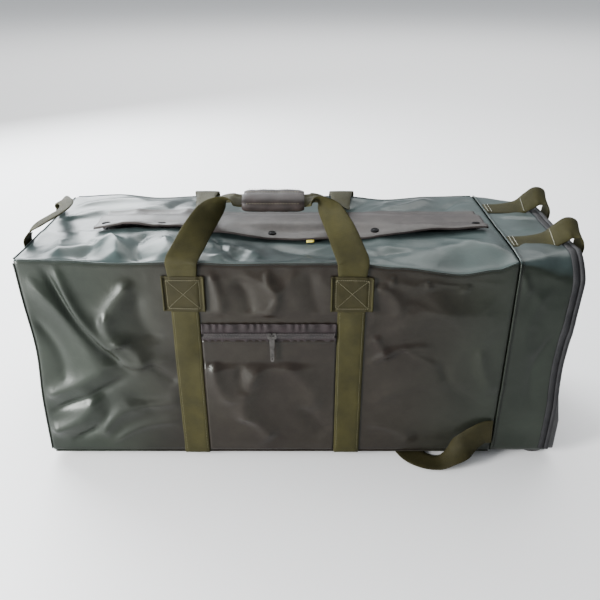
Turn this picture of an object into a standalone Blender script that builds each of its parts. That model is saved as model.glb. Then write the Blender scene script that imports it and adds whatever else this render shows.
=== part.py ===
"""Rolling duffel bag: a box-shaped holdall of coated cloth with webbing handles and two wheels.

The bag lies on its base, as it stands when it is packed. +X runs along it towards the wheels, -Y is
the face with the zipped pocket, +Z is up and z = 0 is the floor. All lengths are in metres.
"""

import math

import bmesh
import bpy
from mathutils import Matrix, Vector

# Driving dimensions of the bag
LENGTH = 0.900  # outside, along X
DEPTH = 0.330  # outside, along Y
TOP = 0.390  # outer face of the top above the floor
BASE = 0.0145  # outer face of the bottom, which wheels and feet hold off the floor
END_SECTION = 0.105  # length of the section beyond the seam at the wheeled end
CLOTH = 0.003  # thickness of a doubled, coated cloth wall
GAP = 0.0003  # clearance between pieces that touch
SHIFT = Vector((-0.0061, 0.0180, 0.0))  # puts the whole object's box in the middle of the frame

LEFT = -LENGTH / 2
RIGHT = LENGTH / 2
FRONT = -DEPTH / 2
REAR = DEPTH / 2
SEAM = RIGHT - END_SECTION

# Webbing and carry handles
WEB = 0.050  # width of the handle webbing
LOAD_WEB = 0.045  # width of the load straps that run round the bag
WEB_THICK = 0.002
STRAP_X = {"left": -0.185, "right": 0.083}
HANDLE_MID = -0.043  # middle of both hand grips along X
GRIP_LENGTH = 0.100
PATCH = (0.068, 0.062)  # width and height of a handle's box-stitched patch
PATCH_TOP = TOP - 0.022
HINGE_OUT = 0.0045  # the handles fold about lines this far outside the top edges

# Main zip, storm flap and press studs
MOUTH = (-0.346, 0.316)  # ends of the opening under the flap
MOUTH_HALF = 0.0148
FLAP = (-0.353, 0.322)
FLAP_REAR = 0.044
STUD_X = (-0.335, -0.239, -0.048, 0.129, 0.304)
STUD_Y = -0.032
MAIN_SLIDER_X = MOUTH[1] - 0.009

# Front pocket
POCKET_X = (-0.1605, 0.0588)
POCKET_ZIP_Z = 0.2610
POCKET_FACE = FRONT - 0.0062  # outer surface of the pocket's zip teeth
POCKET_SLIDER_X = -0.046

# Zip chain and slider, shared by both zips
TOOTH_GAP = 0.0007  # half the space between the two rows of teeth
TOOTH = 0.0038
TOOTH_HIGH = 0.0032
TAPE_THICK = 0.0016

# Wheels
WHEEL_R = 0.030
WHEEL_WIDE = 0.028
WHEEL_X = 0.428
WHEEL_Y = 0.139
AXLE_R = 0.004
BUSH_R = 0.0068
HUB_R = 0.0205
HOUSING_X = (0.392, 0.462)
HOUSING_Y = (0.112, 0.158)
HOUSING_TOP = 0.135


# ---------------------------------------------------------------- scene, materials and helpers


def clear_scene():
    for obj in list(bpy.data.objects):
        bpy.data.objects.remove(obj)


def new_collection(name):
    made = bpy.data.collections.new(name)
    bpy.context.scene.collection.children.link(made)
    return made


def new_material(name, colour, roughness, metallic=0.0):
    made = bpy.data.materials.new(name)
    made.use_nodes = True
    shader = made.node_tree.nodes["Principled BSDF"]
    shader.inputs["Base Color"].default_value = (*colour, 1.0)
    shader.inputs["Roughness"].default_value = roughness
    shader.inputs["Metallic"].default_value = metallic
    return made


def make_materials():
    return {
        "cloth": new_material("coated_cloth", (0.045, 0.060, 0.055), 0.35),
        "webbing": new_material("olive_webbing", (0.130, 0.130, 0.045), 0.70),
        "grip": new_material("brown_grip", (0.050, 0.036, 0.032), 0.50),
        "tape": new_material("zip_tape", (0.030, 0.022, 0.025), 0.80),
        "metal": new_material("dark_metal", (0.050, 0.050, 0.050), 0.35, 1.0),
        "plastic": new_material("black_plastic", (0.020, 0.020, 0.022), 0.45),
        "board": new_material("stiffener_board", (0.080, 0.080, 0.080), 0.60),
        "rubber": new_material("tyre_rubber", (0.018, 0.018, 0.018), 0.75),
        "hub": new_material("grey_nylon", (0.200, 0.200, 0.200), 0.50),
        "steel": new_material("steel", (0.550, 0.550, 0.550), 0.30, 1.0),
        "tab": new_material("yellow_tab", (0.650, 0.550, 0.060), 0.70),
    }


def add_to_bag(obj, name, material):
    """Names a new object, gives it its material and hangs it on the bag's frame."""
    obj.name = name
    obj.data.name = name
    obj.data.materials.clear()
    obj.data.materials.append(MATERIALS[material])
    for old in list(obj.users_collection):
        old.objects.unlink(obj)
    PARTS.objects.link(obj)
    obj.parent = ROOT
    return obj


def box(name, low, high, material):
    """A cube primitive stretched between two corners, with its scale applied."""
    low, high = Vector(low), Vector(high)
    bpy.ops.mesh.primitive_cube_add(size=1, location=(low + high) / 2)
    obj = bpy.context.object
    obj.data.transform(Matrix.Diagonal((*(high - low), 1)))
    return add_to_bag(obj, name, material)


def turned_to(axis):
    """The rotation that lays a primitive's own Z along an axis."""
    return Vector((0, 0, 1)).rotation_difference(Vector(axis)).to_euler()


def cylinder(name, radius, length, centre, axis, material, sides=24):
    bpy.ops.mesh.primitive_cylinder_add(
        vertices=sides, radius=radius, depth=length, location=centre, rotation=turned_to(axis)
    )
    return add_to_bag(bpy.context.object, name, material)


def round_off(obj, width, segments=2):
    bevel = obj.modifiers.new("rounded_edges", "BEVEL")
    bevel.width = width
    bevel.segments = segments
    bevel.limit_method = "ANGLE"
    return obj


def smooth(obj):
    obj.data.shade_smooth()
    obj.data.set_sharp_from_angle(angle=math.radians(35))
    return obj


def as_cutter(obj):
    """Moves a helper solid out of the object: it only cuts, and never shows."""
    PARTS.objects.unlink(obj)
    CUTTERS.objects.link(obj)
    obj.hide_render = True
    obj.display_type = "WIRE"
    return obj


def combine(obj, other, operation):
    boolean = obj.modifiers.new(operation.lower(), "BOOLEAN")
    boolean.object = other
    boolean.operation = operation
    return obj


def cut(obj, cutter):
    return combine(obj, cutter, "DIFFERENCE")


def join(obj, added):
    """Makes one solid of an object and a helper that overlaps it."""
    return combine(obj, as_cutter(added), "UNION")


def rounded_outline(half_y, low, high, low_radius, high_radius, steps):
    """An upright rounded rectangle as (y, z) points, anticlockwise from its lower +Y corner."""
    corners = (
        (half_y - low_radius, low + low_radius, low_radius, -90),
        (half_y - high_radius, high - high_radius, high_radius, 0),
        (high_radius - half_y, high - high_radius, high_radius, 90),
        (low_radius - half_y, low + low_radius, low_radius, 180),
    )
    points = []
    for y, z, radius, start in corners:
        for step in range(steps + 1):
            angle = math.radians(start + 90 * step / steps)
            points.append((y + radius * math.cos(angle), z + radius * math.sin(angle)))
    return points


def add_spline(curve, points, closed=True):
    spline = curve.splines.new("POLY")
    spline.points.add(len(points) - 1)
    for point, where in zip(spline.points, points):
        point.co = (*where, *([0.0] * (3 - len(where))), 1.0)
    spline.use_cyclic_u = closed


def extruded(name, outlines, thickness, place, material):
    """Flat outlines, later ones as holes in the first, extruded both ways from the plane of place."""
    curve = bpy.data.curves.new(name, "CURVE")
    curve.dimensions = "2D"
    curve.fill_mode = "BOTH"
    curve.extrude = thickness / 2
    for outline in outlines:
        add_spline(curve, outline)
    obj = bpy.data.objects.new(name, curve)
    bpy.context.scene.collection.objects.link(obj)
    obj.matrix_world = place
    return add_to_bag(obj, name, material)


def as_mesh(obj):
    """Replaces a curve object with its mesh, its loose caps welded, so that Booleans can work on it."""
    graph = bpy.context.evaluated_depsgraph_get()
    mesh = bpy.data.meshes.new_from_object(obj.evaluated_get(graph))
    form = bmesh.new()
    form.from_mesh(mesh)
    bmesh.ops.remove_doubles(form, verts=form.verts, dist=1e-6)
    bmesh.ops.recalc_face_normals(form, faces=form.faces)
    form.to_mesh(mesh)
    form.free()
    name, material = obj.name, obj.data.materials[0]
    made = bpy.data.objects.new(name, mesh)
    PARTS.objects.link(made)
    made.parent = ROOT
    made.matrix_world = obj.matrix_world
    bpy.data.objects.remove(obj)
    made.name = name
    mesh.materials.clear()
    mesh.materials.append(material)
    return made


def plane_across_x(x):
    """A drawing plane whose own x and y are the bag's Y and Z, at that place along X."""
    return Matrix(((0, 0, 1, x), (1, 0, 0, 0), (0, 1, 0, 0), (0, 0, 0, 1)))


def piped(name, points, radius, material, closed):
    """A round cord or piping along points."""
    curve = bpy.data.curves.new(name, "CURVE")
    curve.dimensions = "3D"
    curve.bevel_depth = radius
    curve.bevel_resolution = 2
    curve.use_fill_caps = not closed
    add_spline(curve, points, closed)
    obj = bpy.data.objects.new(name, curve)
    bpy.context.scene.collection.objects.link(obj)
    return add_to_bag(obj, name, material)


def eased(values, position):
    """Catmull-Rom reading of a list of vectors at a fractional index."""
    index = min(int(position), len(values) - 2)
    t = position - index
    before = values[max(index - 1, 0)]
    start, end = values[index], values[index + 1]
    after = values[min(index + 2, len(values) - 1)]
    return 0.5 * (
        2 * start
        + (end - before) * t
        + (2 * before - 5 * start + 4 * end - after) * t * t
        + (3 * start - before - 3 * end + after) * t * t * t
    )


def strap(name, stations, material, per_span=3, thickness=WEB_THICK):
    """Webbing lofted through stations of (centre, direction across, width)."""
    centres = [Vector(station[0]) for station in stations]
    across = [Vector(station[1]).normalized() for station in stations]
    widths = [Vector((station[2], 0, 0)) for station in stations]
    count = (len(stations) - 1) * per_span
    at = [step / per_span for step in range(count + 1)]
    line = [eased(centres, position) for position in at]
    form = bmesh.new()
    rings = []
    for step, position in enumerate(at):
        ahead, behind = line[min(step + 1, count)], line[max(step - 1, 0)]
        along = (ahead - behind).normalized()
        side = eased(across, position)
        side = (side - along * side.dot(along)).normalized()
        face = along.cross(side) * thickness / 2
        side = side * eased(widths, position).x / 2
        corners = (side + face, -side + face, -side - face, side - face)
        rings.append([form.verts.new(line[step] + corner) for corner in corners])
    for ring, following in zip(rings, rings[1:]):
        for corner in range(4):
            other = (corner + 1) % 4
            form.faces.new((ring[corner], ring[other], following[other], following[corner]))
    form.faces.new(rings[0])
    form.faces.new(rings[-1])
    bmesh.ops.triangulate(form, faces=form.faces)
    bmesh.ops.recalc_face_normals(form, faces=form.faces)
    mesh = bpy.data.meshes.new(name)
    form.to_mesh(mesh)
    form.free()
    obj = bpy.data.objects.new(name, mesh)
    bpy.context.scene.collection.objects.link(obj)
    return add_to_bag(obj, name, material)


def turned(name, profile, centre, axis, material, steps=32):
    """A solid of revolution: an (radius, height) profile with a Screw modifier, laid along an axis."""
    mesh = bpy.data.meshes.new(name)
    points = [(radius, 0, height) for radius, height in profile]
    solid = profile[0][0] == profile[-1][0] == 0
    closing = [(i, (i + 1) % len(points)) for i in range(len(points) - solid)]
    mesh.from_pydata(points, closing, [])
    obj = bpy.data.objects.new(name, mesh)
    bpy.context.scene.collection.objects.link(obj)
    screw = obj.modifiers.new("turned", "SCREW")
    screw.steps = steps
    screw.render_steps = steps
    screw.use_merge_vertices = True
    screw.merge_threshold = 0.00001
    obj.location = centre
    obj.rotation_euler = turned_to(axis)
    return add_to_bag(obj, name, material)


# ---------------------------------------------------------------- cloth walls and stiffener


def build_walls():
    """The main compartment: a box of cloth panels, its top in two halves either side of the zip."""
    end = SEAM - GAP
    wall_top = TOP - CLOTH - GAP
    floor = BASE + CLOTH + GAP
    box("base_panel", (LEFT + CLOTH + GAP, FRONT, BASE), (end, REAR, BASE + CLOTH), "cloth")
    box("left_end_panel", (LEFT, FRONT, floor), (LEFT + CLOTH, REAR, wall_top), "cloth")
    inner = LEFT + CLOTH + GAP
    box("front_panel", (inner, FRONT, floor), (end, FRONT + CLOTH, wall_top), "cloth")
    box("rear_panel", (inner, REAR - CLOTH, floor), (end, REAR, wall_top), "cloth")
    for name, side in (("top_front_panel", -1), ("top_rear_panel", 1)):
        edges = sorted((side * TOOTH_GAP, side * DEPTH / 2))
        panel = box(name, (LEFT, edges[0], TOP - CLOTH), (end, edges[1], TOP), "cloth")
        edges = sorted((-side * CLOTH, side * MOUTH_HALF))
        slot = box(
            name + "_slot", (MOUTH[0], edges[0], TOP - 0.01), (MOUTH[1], edges[1], TOP + 0.01), "cloth"
        )
        cut(panel, as_cutter(slot))


def build_stiffener():
    low = (LEFT + 0.010, FRONT + 0.008, BASE + CLOTH + GAP)
    high = (HOUSING_X[0] - 0.006, REAR - 0.008, BASE + CLOTH + GAP + 0.004)
    round_off(box("base_board", low, high, "board"), 0.0015, 1)


def housing_well(name, side, grow):
    """The block of space that a wheel housing fills, grown on every side."""
    edges = sorted((side * (HOUSING_Y[0] - grow), side * (HOUSING_Y[1] + grow)))
    return box(
        name,
        (HOUSING_X[0] - grow, edges[0], -0.02),
        (HOUSING_X[1] + grow, edges[1], HOUSING_TOP + grow),
        "cloth",
    )


def build_end_section():
    """The section past the seam: a ring of cloth with round top corners, and its end panel."""
    start, end = SEAM, RIGHT - 0.009
    outer = rounded_outline(DEPTH / 2, BASE, TOP, 0.010, 0.040, 5)
    inner = rounded_outline(DEPTH / 2 - CLOTH, BASE + CLOTH, TOP - CLOTH, 0.007, 0.037, 5)
    ring = extruded(
        "end_section", [outer, inner], end - start, plane_across_x((start + end) / 2), "cloth"
    )
    ring = as_mesh(ring)
    face = end + GAP + CLOTH / 2
    panel = as_mesh(extruded("right_end_panel", [outer], CLOTH, plane_across_x(face), "cloth"))
    for side, name in ((-1, "front"), (1, "rear")):
        well = as_cutter(housing_well(f"{name}_well", side, GAP))
        cut(ring, well)
        cut(panel, well)


def build_pipings():
    """The thick binding round the wheeled end, open at the bottom, and the welt on the seam."""
    radius = 0.0045
    outline = rounded_outline(DEPTH / 2 - 0.002, BASE, TOP - 0.002, 0.010, 0.038, 6)
    run = [(RIGHT - 0.001, y, z) for y, z in outline if z > BASE + 0.02]
    foot = BASE + 0.006
    run = [(run[0][0], run[0][1], foot), *run, (run[-1][0], run[-1][1], foot)]
    piped("end_piping", run, radius, "plastic", False)
    welt = 0.0012
    clear = welt + GAP
    outline = rounded_outline(DEPTH / 2 + clear, BASE, TOP + clear, 0.010, clear, 3)
    run = [(SEAM, y, z) for y, z in outline if z > BASE + 0.02]
    run = [(SEAM, run[0][1], foot), *run, (SEAM, run[-1][1], foot)]
    piped("seam_welt", run, welt, "cloth", False)


# ---------------------------------------------------------------- load straps, patches and handles


def build_load_straps():
    """A band of webbing round the bag under each pair of handle legs, from one top edge to the other."""
    off = 0.001 + WEB_THICK / 2
    low, corner = BASE - off, 0.003
    for side, x in STRAP_X.items():
        half = [
            (FRONT - off, TOP - 0.002),
            (FRONT - off, 0.200),
            (FRONT - off, low + corner),
            (FRONT - off + corner * 0.3, low + corner * 0.3),
            (FRONT - off + corner, low),
            (FRONT + 0.10, low),
        ]
        run = half + [(-y, z) for y, z in reversed(half)]
        stations = [((x, y, z), (1, 0, 0), LOAD_WEB) for y, z in run]
        strap(f"load_strap_{side}", stations, "webbing", per_span=1)


def build_patches():
    """The box-stitched squares that hold the handles' ends on the load straps."""
    width, height = PATCH
    for side, x in STRAP_X.items():
        for face, sign in (("front", -1), ("rear", 1)):
            edges = sorted((sign * (DEPTH / 2 + 0.0034), sign * (DEPTH / 2 + 0.0052)))
            low = (x - width / 2, edges[0], PATCH_TOP - height)
            box(f"{face}_{side}_patch", low, (x + width / 2, edges[1], PATCH_TOP), "webbing")


def handle_stations(leg, end_grip):
    """Both legs of a carry handle and the folded webbing in its grip, from left to right.

    leg holds (part of the way in to the grip, y, z, direction across, width) from the hinge line up;
    end_grip is the (y, z) of the grip's axis.
    """
    half = GRIP_LENGTH / 2
    ends = {
        "left": (STRAP_X["left"], HANDLE_MID - half, 1),
        "right": (STRAP_X["right"], HANDLE_MID + half, -1),
    }
    stations = []
    for side in ("left", "right"):
        start, stop, sign = ends[side]
        run = []
        for share, y, z, (across_x, across_y, across_z), width in leg:
            x = start + (stop - start) * share
            across = (across_x, across_y * sign, across_z * sign)
            run.append(((x, y, z), across, width))
        stations += run if side == "left" else run[::-1]
    middle = ((HANDLE_MID, *end_grip), (0, leg[-1][3][1], leg[-1][3][2]), leg[-1][4])
    return stations[: len(leg)] + [middle] + turned_back(stations[len(leg) :])


def turned_back(stations):
    """The same stations with the direction across pointing the other way, so that a loft doesn't twist."""
    return [(centre, tuple(-part for part in across), width) for centre, across, width in stations]


def grip_sleeve(name, y, z, lean):
    """A stuffed sleeve with a flat way through it for the folded webbing."""

    def oval(width, height, steps):
        angles = [2 * math.pi * step / steps for step in range(steps)]
        return [
            (
                math.copysign(abs(math.cos(a)) ** 0.75, math.cos(a)) * width / 2,
                math.copysign(abs(math.sin(a)) ** 0.75, math.sin(a)) * height / 2,
            )
            for a in angles
        ]

    place = plane_across_x(HANDLE_MID) @ Matrix.Rotation(lean, 4, "Z")
    place = Matrix.Translation((0, y, z)) @ place
    outlines = [oval(0.034, 0.024, 20), oval(0.028, 0.008, 12)]
    return extruded(name, outlines, GRIP_LENGTH, place, "grip")


def build_carry_handles():
    folded = 0.022  # width of the webbing folded in half inside a grip
    lean = math.radians(20)
    flat = (0, math.cos(lean), math.sin(lean))
    front_axis, rear_axis = (-0.090, 0.462), (-0.052, 0.455)
    front_leg = (
        (0.00, FRONT - HINGE_OUT, TOP + 0.0015, (1, 0, 0), WEB),
        (0.01, FRONT + 0.004, TOP + 0.013, (1, 0, 0), WEB),
        (0.04, FRONT + 0.022, TOP + 0.024, (1, 0.05, -0.1), WEB),
        (0.14, FRONT + 0.045, TOP + 0.039, (1, 0.2, -0.3), WEB * 0.98),
        (0.36, FRONT + 0.062, TOP + 0.059, (1, 0.4, -0.8), WEB * 0.90),
        (0.68, front_axis[0] - 0.005, front_axis[1] + 0.004, (0.5, 0.8, -0.3), WEB * 0.70),
        (0.97, *front_axis, flat, folded),
    )
    rear_leg = (
        (0.00, REAR + HINGE_OUT, TOP + 0.0015, (1, 0, 0), WEB),
        (0.00, REAR - 0.006, TOP + 0.012, (1, 0, 0), WEB),
        (0.00, REAR - 0.050, TOP + 0.024, (1, 0, 0), WEB),
        (0.02, REAR - 0.110, TOP + 0.037, (1, 0, 0.05), WEB),
        (0.12, REAR - 0.160, TOP + 0.050, (1, 0.2, 0.1), WEB * 0.98),
        (0.42, REAR - 0.200, TOP + 0.062, (0.8, 0.6, 0.1), WEB * 0.85),
        (0.75, rear_axis[0] + 0.002, rear_axis[1] + 0.001, (0.2, 0.9, 0.2), WEB * 0.60),
        (0.97, *rear_axis, flat, folded),
    )
    strap("front_handle_webbing", handle_stations(front_leg, front_axis), "webbing", per_span=5)
    strap("rear_handle_webbing", handle_stations(rear_leg, rear_axis), "webbing")
    grip_sleeve("front_handle_grip", *front_axis, lean)
    grip_sleeve("rear_handle_grip", *rear_axis, lean)


def build_left_handle():
    """The pull handle across the end away from the wheels, resting inwards on the top."""
    reach, half = 0.040, 0.080
    width = 0.038
    along = ((0.00, 0.0015, 0.0), (0.13, 0.0140, 0.0), (0.42, 0.0240, 0.24), (0.85, 0.0300, 0.62))
    leg = []
    for inwards, up, to_middle in along:
        x = LEFT - HINGE_OUT + reach * inwards
        leg.append((x, half * (1 - to_middle), TOP + up))
    stations = [((x, -y, z), (0, 1, 0), width) for x, y, z in leg[:1]]
    stations += [((x, -y, z), (0, 1, 0), width) for x, y, z in leg[1:2]]
    stations += [((x, -y, z), (-0.5, 0.8, -0.1), width * 0.9) for x, y, z in leg[2:3]]
    stations += [((x, -y, z), (-0.9, 0.3, -0.2), width * 0.8) for x, y, z in leg[3:]]
    apex = ((LEFT - HINGE_OUT + reach, 0, TOP + 0.031), (-1, 0, -0.3), width * 0.8)
    mirrored = [((x, -y, z), (a, -b, c), w) for (x, y, z), (a, b, c), w in reversed(stations)]
    strap("left_handle_webbing", stations + [apex] + mirrored, "webbing")
    for name, side in (("front", -1), ("rear", 1)):
        centre = side * half
        low = (LEFT - 0.0024, centre - 0.026, TOP - 0.060)
        high = (LEFT - GAP, centre + 0.026, TOP - 0.006)
        box(f"left_handle_{name}_patch", low, high, "plastic")


def build_end_straps():
    """Two lift loops of webbing that arch over the top edge of the wheeled end."""
    run = (
        (SEAM + 0.003, TOP + 0.0018),
        (SEAM + 0.035, TOP + 0.0020),
        (SEAM + 0.065, TOP + 0.0050),
        (SEAM + 0.084, TOP + 0.0210),
        (SEAM + 0.100, TOP + 0.0340),
        (SEAM + 0.116, TOP + 0.0300),
        (SEAM + 0.124, TOP + 0.0100),
        (SEAM + 0.121, TOP - 0.0150),
        (SEAM + 0.113, TOP - 0.0400),
        (SEAM + 0.1048, TOP - 0.0700),
        (SEAM + 0.1045, TOP - 0.1100),
    )
    for name, y in (("end_strap_front", -0.087), ("end_strap_rear", 0.079)):
        strap(name, [((x, y, z), (0, 1, 0), WEB) for x, z in run], "webbing")


def build_bottom_strap():
    """A loose strap sewn in the seam low on the front, twisting down to the floor and under the bag."""
    stations = (
        ((SEAM - 0.004, FRONT - 0.0036, 0.0640), (0.05, 0.00, 1.00), 0.050),
        ((SEAM - 0.022, FRONT - 0.0050, 0.0620), (0.15, 0.03, 1.00), 0.050),
        ((SEAM - 0.045, FRONT - 0.0110, 0.0480), (0.30, 0.25, 0.92), 0.046),
        ((SEAM - 0.068, FRONT - 0.0200, 0.0280), (0.35, 0.65, 0.68), 0.042),
        ((SEAM - 0.092, FRONT - 0.0215, 0.0085), (0.10, 0.97, 0.10), 0.038),
        ((SEAM - 0.118, FRONT - 0.0140, 0.0040), (0.50, 0.85, 0.00), 0.042),
        ((SEAM - 0.140, FRONT + 0.0080, 0.0030), (0.87, 0.49, 0.00), 0.048),
        ((SEAM - 0.154, FRONT + 0.0500, 0.0030), (0.98, 0.18, 0.00), 0.050),
        ((SEAM - 0.158, FRONT + 0.0950, 0.0045), (1.00, 0.03, 0.00), 0.050),
        ((SEAM - 0.159, FRONT + 0.1400, 0.0095), (1.00, 0.00, 0.00), 0.050),
        ((SEAM - 0.159, FRONT + 0.1800, 0.0122), (1.00, 0.00, 0.00), 0.050),
    )
    strap("bottom_strap", stations, "webbing")


# ---------------------------------------------------------------- zips


def zip_row(name, place, length, side, tape, material):
    """One row of teeth with its tape. In place's axes x is along the zip and z points outwards."""
    middle = -0.0015
    near, far = sorted((side * TOOTH_GAP, side * (TOOTH_GAP + TOOTH)))
    half, tooth_half = length / 2, TOOTH_HIGH / 2
    teeth = box(name, (-half, near, middle - tooth_half), (half, far, middle + tooth_half), material)
    inner = side * (TOOTH_GAP + TOOTH / 2)
    near, far = sorted((inner, side * tape))
    tape_half = TAPE_THICK / 2
    sewn = box(name + "_tape", (-half, near, middle - tape_half), (half, far, middle + tape_half), material)
    for obj in (teeth, sewn):
        obj.matrix_world = place @ obj.matrix_world
    return join(teeth, sewn)


def zip_slider(name, place, turn):
    """A slider: plates above and below the teeth, a web between the rows, and a crown for the pull."""
    long, wide, plate = 0.014, 0.011, 0.0016
    above, below = 0.0006, -0.0036
    body = box(name, (-long / 2, -wide / 2, above), (long / 2, wide / 2, above + plate), "metal")
    web = box(name + "_web", (-0.004, -0.00035, below - 0.0002), (0.006, 0.00035, above + 0.0004), "metal")
    back = box(name + "_back", (-long / 2, -wide / 2, below - plate), (long / 2, wide / 2, below), "metal")
    low, high, reach, post = above + plate - 0.0003, 0.0062, 0.0045, 0.0013
    outline = [(-reach, low), (reach, low), (reach, high), (-reach, high)]
    window = [
        (post - reach, low + 0.0003),
        (reach - post, low + 0.0003),
        (reach - post, high - post),
        (post - reach, high - post),
    ]
    upright = Matrix(((1, 0, 0, 0), (0, 0, -1, 0), (0, 1, 0, 0), (0, 0, 0, 1)))
    crown = as_mesh(extruded(name + "_crown", [outline, window], 0.0020, upright, "metal"))
    crown.matrix_world = Matrix.Rotation(turn, 4, "Z") @ crown.matrix_world
    for obj in (body, web, back, crown):
        obj.matrix_world = place @ obj.matrix_world
    for added in (web, back, crown):
        join(body, added)
    return body


PULL_HEIGHT = 0.0035  # of the pull's bar above the outer surface of the teeth


def zip_pull(name, place, turn, length):
    """A pull whose bar lies in the slider's crown. Its origin is on the bar's axis."""
    wide, bar, thick = 0.0085, 0.0007, 0.0012
    outline = [(-length + 0.003, -0.0030), (-0.009, -wide / 2), (bar, -wide / 2)]
    outline += [(x, -y) for x, y in reversed(outline)]
    outline += [(-length, 0.0015), (-length, -0.0015)]
    window = [(-0.0058, -0.0018), (-bar, -0.0018), (-bar, 0.0018), (-0.0058, 0.0018)]
    near, far = 0.004 - length, 0.007 - length
    hole = [(near, -0.0012), (far, -0.0012), (far, 0.0012), (near, 0.0012)]
    lifted = place @ Matrix.Rotation(turn, 4, "Z") @ Matrix.Translation((0, 0, PULL_HEIGHT))
    return extruded(name, [outline, window, hole], thick, lifted, "metal")


def build_main_zip():
    length = MOUTH[1] - MOUTH[0] - 2 * GAP
    middle = Matrix.Translation(((MOUTH[0] + MOUTH[1]) / 2, 0, TOP))
    zip_row("main_zip_front", middle, length, -1, MOUTH_HALF - 0.0011, "tape")
    zip_row("main_zip_rear", middle, length, 1, MOUTH_HALF - 0.0011, "tape")
    place = Matrix.Translation((MAIN_SLIDER_X, 0, TOP))
    zip_slider("main_zip_slider", place, 0)
    zip_pull("main_zip_pull", place, 0, 0.028)


def pocket_plane(x):
    """Axes on the pocket's face: x along the zip, y up, z outwards."""
    return Matrix(((1, 0, 0, x), (0, 0, -1, POCKET_FACE), (0, 1, 0, POCKET_ZIP_Z), (0, 0, 0, 1)))


def build_pocket():
    """The patch pocket between the load straps, with a zip across its top."""
    length = POCKET_X[1] - POCKET_X[0]
    middle = pocket_plane(sum(POCKET_X) / 2)
    zip_row("pocket_zip_lower", middle, length, -1, 0.0130, "tape")
    zip_row("pocket_zip_upper", middle, length, 1, 0.0180, "tape")
    face = FRONT - 0.0006
    low = (POCKET_X[0], face - 0.0020, BASE + 0.008)
    high = (POCKET_X[1], face, POCKET_ZIP_Z - 0.0062)
    box("pocket_panel", low, high, "cloth")
    place = pocket_plane(POCKET_SLIDER_X)
    zip_slider("pocket_zip_slider", place, math.radians(90))
    zip_pull("pocket_zip_pull", place, math.radians(90), 0.048)


# ---------------------------------------------------------------- storm flap and press studs


def build_flap():
    """The flap over the main zip, arched to clear the slider, sewn down along its rear edge."""
    under = (
        (FLAP_REAR, 0.0012),
        (0.034, 0.0028),
        (0.020, 0.0070),
        (0.008, 0.0094),
        (-0.006, 0.0094),
        (STUD_Y + 0.009, 0.0056),
        (STUD_Y - 0.009, 0.0056),
        (STUD_Y - 0.016, 0.0018),
    )
    thick = 0.0020
    lower = [(y, TOP + z) for y, z in under]
    upper = [(y, TOP + z + thick) for y, z in reversed(under)]
    middle = sum(FLAP) / 2
    flap = as_mesh(
        extruded("storm_flap", [upper + lower], FLAP[1] - FLAP[0], plane_across_x(middle), "cloth")
    )
    for number, x in enumerate(STUD_X, 1):
        hole = cylinder(f"snap_hole_{number}", 0.0028, 0.02, (x, STUD_Y, TOP + 0.006), (0, 0, 1), "cloth", 14)
        cut(flap, as_cutter(hole))
    low = (0.012, STUD_Y - 0.0200, TOP + 0.0006)
    box("flap_tab", low, (0.024, STUD_Y - 0.0165, TOP + 0.0026), "tab")


def build_snaps():
    """Press studs: a stud on the top panel, and a cap through the flap whose socket fits over it."""
    cap_profile = (
        (0.0000, 0.0028),
        (0.0045, 0.0026),
        (0.0072, 0.0016),
        (0.0076, 0.0006),
        (0.0024, 0.0006),
        (0.0024, -0.0026),
        (0.0052, -0.0026),
        (0.0052, -0.0046),
        (0.0025, -0.0046),
        (0.0025, -0.0030),
        (0.0000, -0.0030),
    )
    stud_profile = (
        (0.0000, 0.0030),
        (0.0016, 0.0030),
        (0.0019, 0.0024),
        (0.0015, 0.0011),
        (0.0055, 0.0010),
        (0.0055, 0.0000),
        (0.0000, 0.0000),
    )
    for number, x in enumerate(STUD_X, 1):
        at = (x, STUD_Y, TOP + 0.0077)
        smooth(turned(f"snap_cap_{number}", cap_profile, at, (0, 0, 1), "metal", 20))
        at = (x, STUD_Y, TOP + GAP)
        smooth(turned(f"snap_stud_{number}", stud_profile, at, (0, 0, 1), "metal", 16))


# ---------------------------------------------------------------- wheels and feet


def build_housing(name, side):
    """A moulded corner housing, hollow under the wheel and open downwards and outwards."""
    low_x, high_x = HOUSING_X
    outline = [
        (low_x, BASE + 0.001),
        (high_x, BASE + 0.001),
        (high_x, 0.078),
        (high_x - 0.004, 0.100),
        (high_x - 0.010, HOUSING_TOP),
        (low_x + 0.026, HOUSING_TOP),
        (low_x, 0.088),
    ]
    middle = side * sum(HOUSING_Y) / 2
    upright = Matrix(((1, 0, 0, 0), (0, 0, -1, middle), (0, 1, 0, 0), (0, 0, 0, 1)))
    wide = HOUSING_Y[1] - HOUSING_Y[0]
    housing = as_mesh(extruded(name, [outline], wide, upright, "plastic"))
    round_off(housing, 0.0025)
    reach, sill = WHEEL_R + 0.004, 0.018
    first = math.asin(sill / reach)
    arc = [first + (math.pi - first) * step / 14 for step in range(15)]
    arch = [(WHEEL_X + reach * math.cos(a), WHEEL_R + reach * math.sin(a)) for a in arc]
    arch += [(WHEEL_X - reach, -0.01), (high_x + 0.01, -0.01), (high_x + 0.01, WHEEL_R + sill)]
    upright = Matrix(((1, 0, 0, 0), (0, 0, -1, side * WHEEL_Y), (0, 1, 0, 0), (0, 0, 0, 1)))
    well = as_mesh(extruded(name + "_arch", [arch], WHEEL_WIDE + 0.003, upright, "plastic"))
    at = (WHEEL_X, side * WHEEL_Y, WHEEL_R)
    bore = cylinder(name + "_bore", AXLE_R + GAP, 0.08, at, (0, 1, 0), "plastic")
    for cutter in (well, bore):
        cut(housing, as_cutter(cutter))


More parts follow.
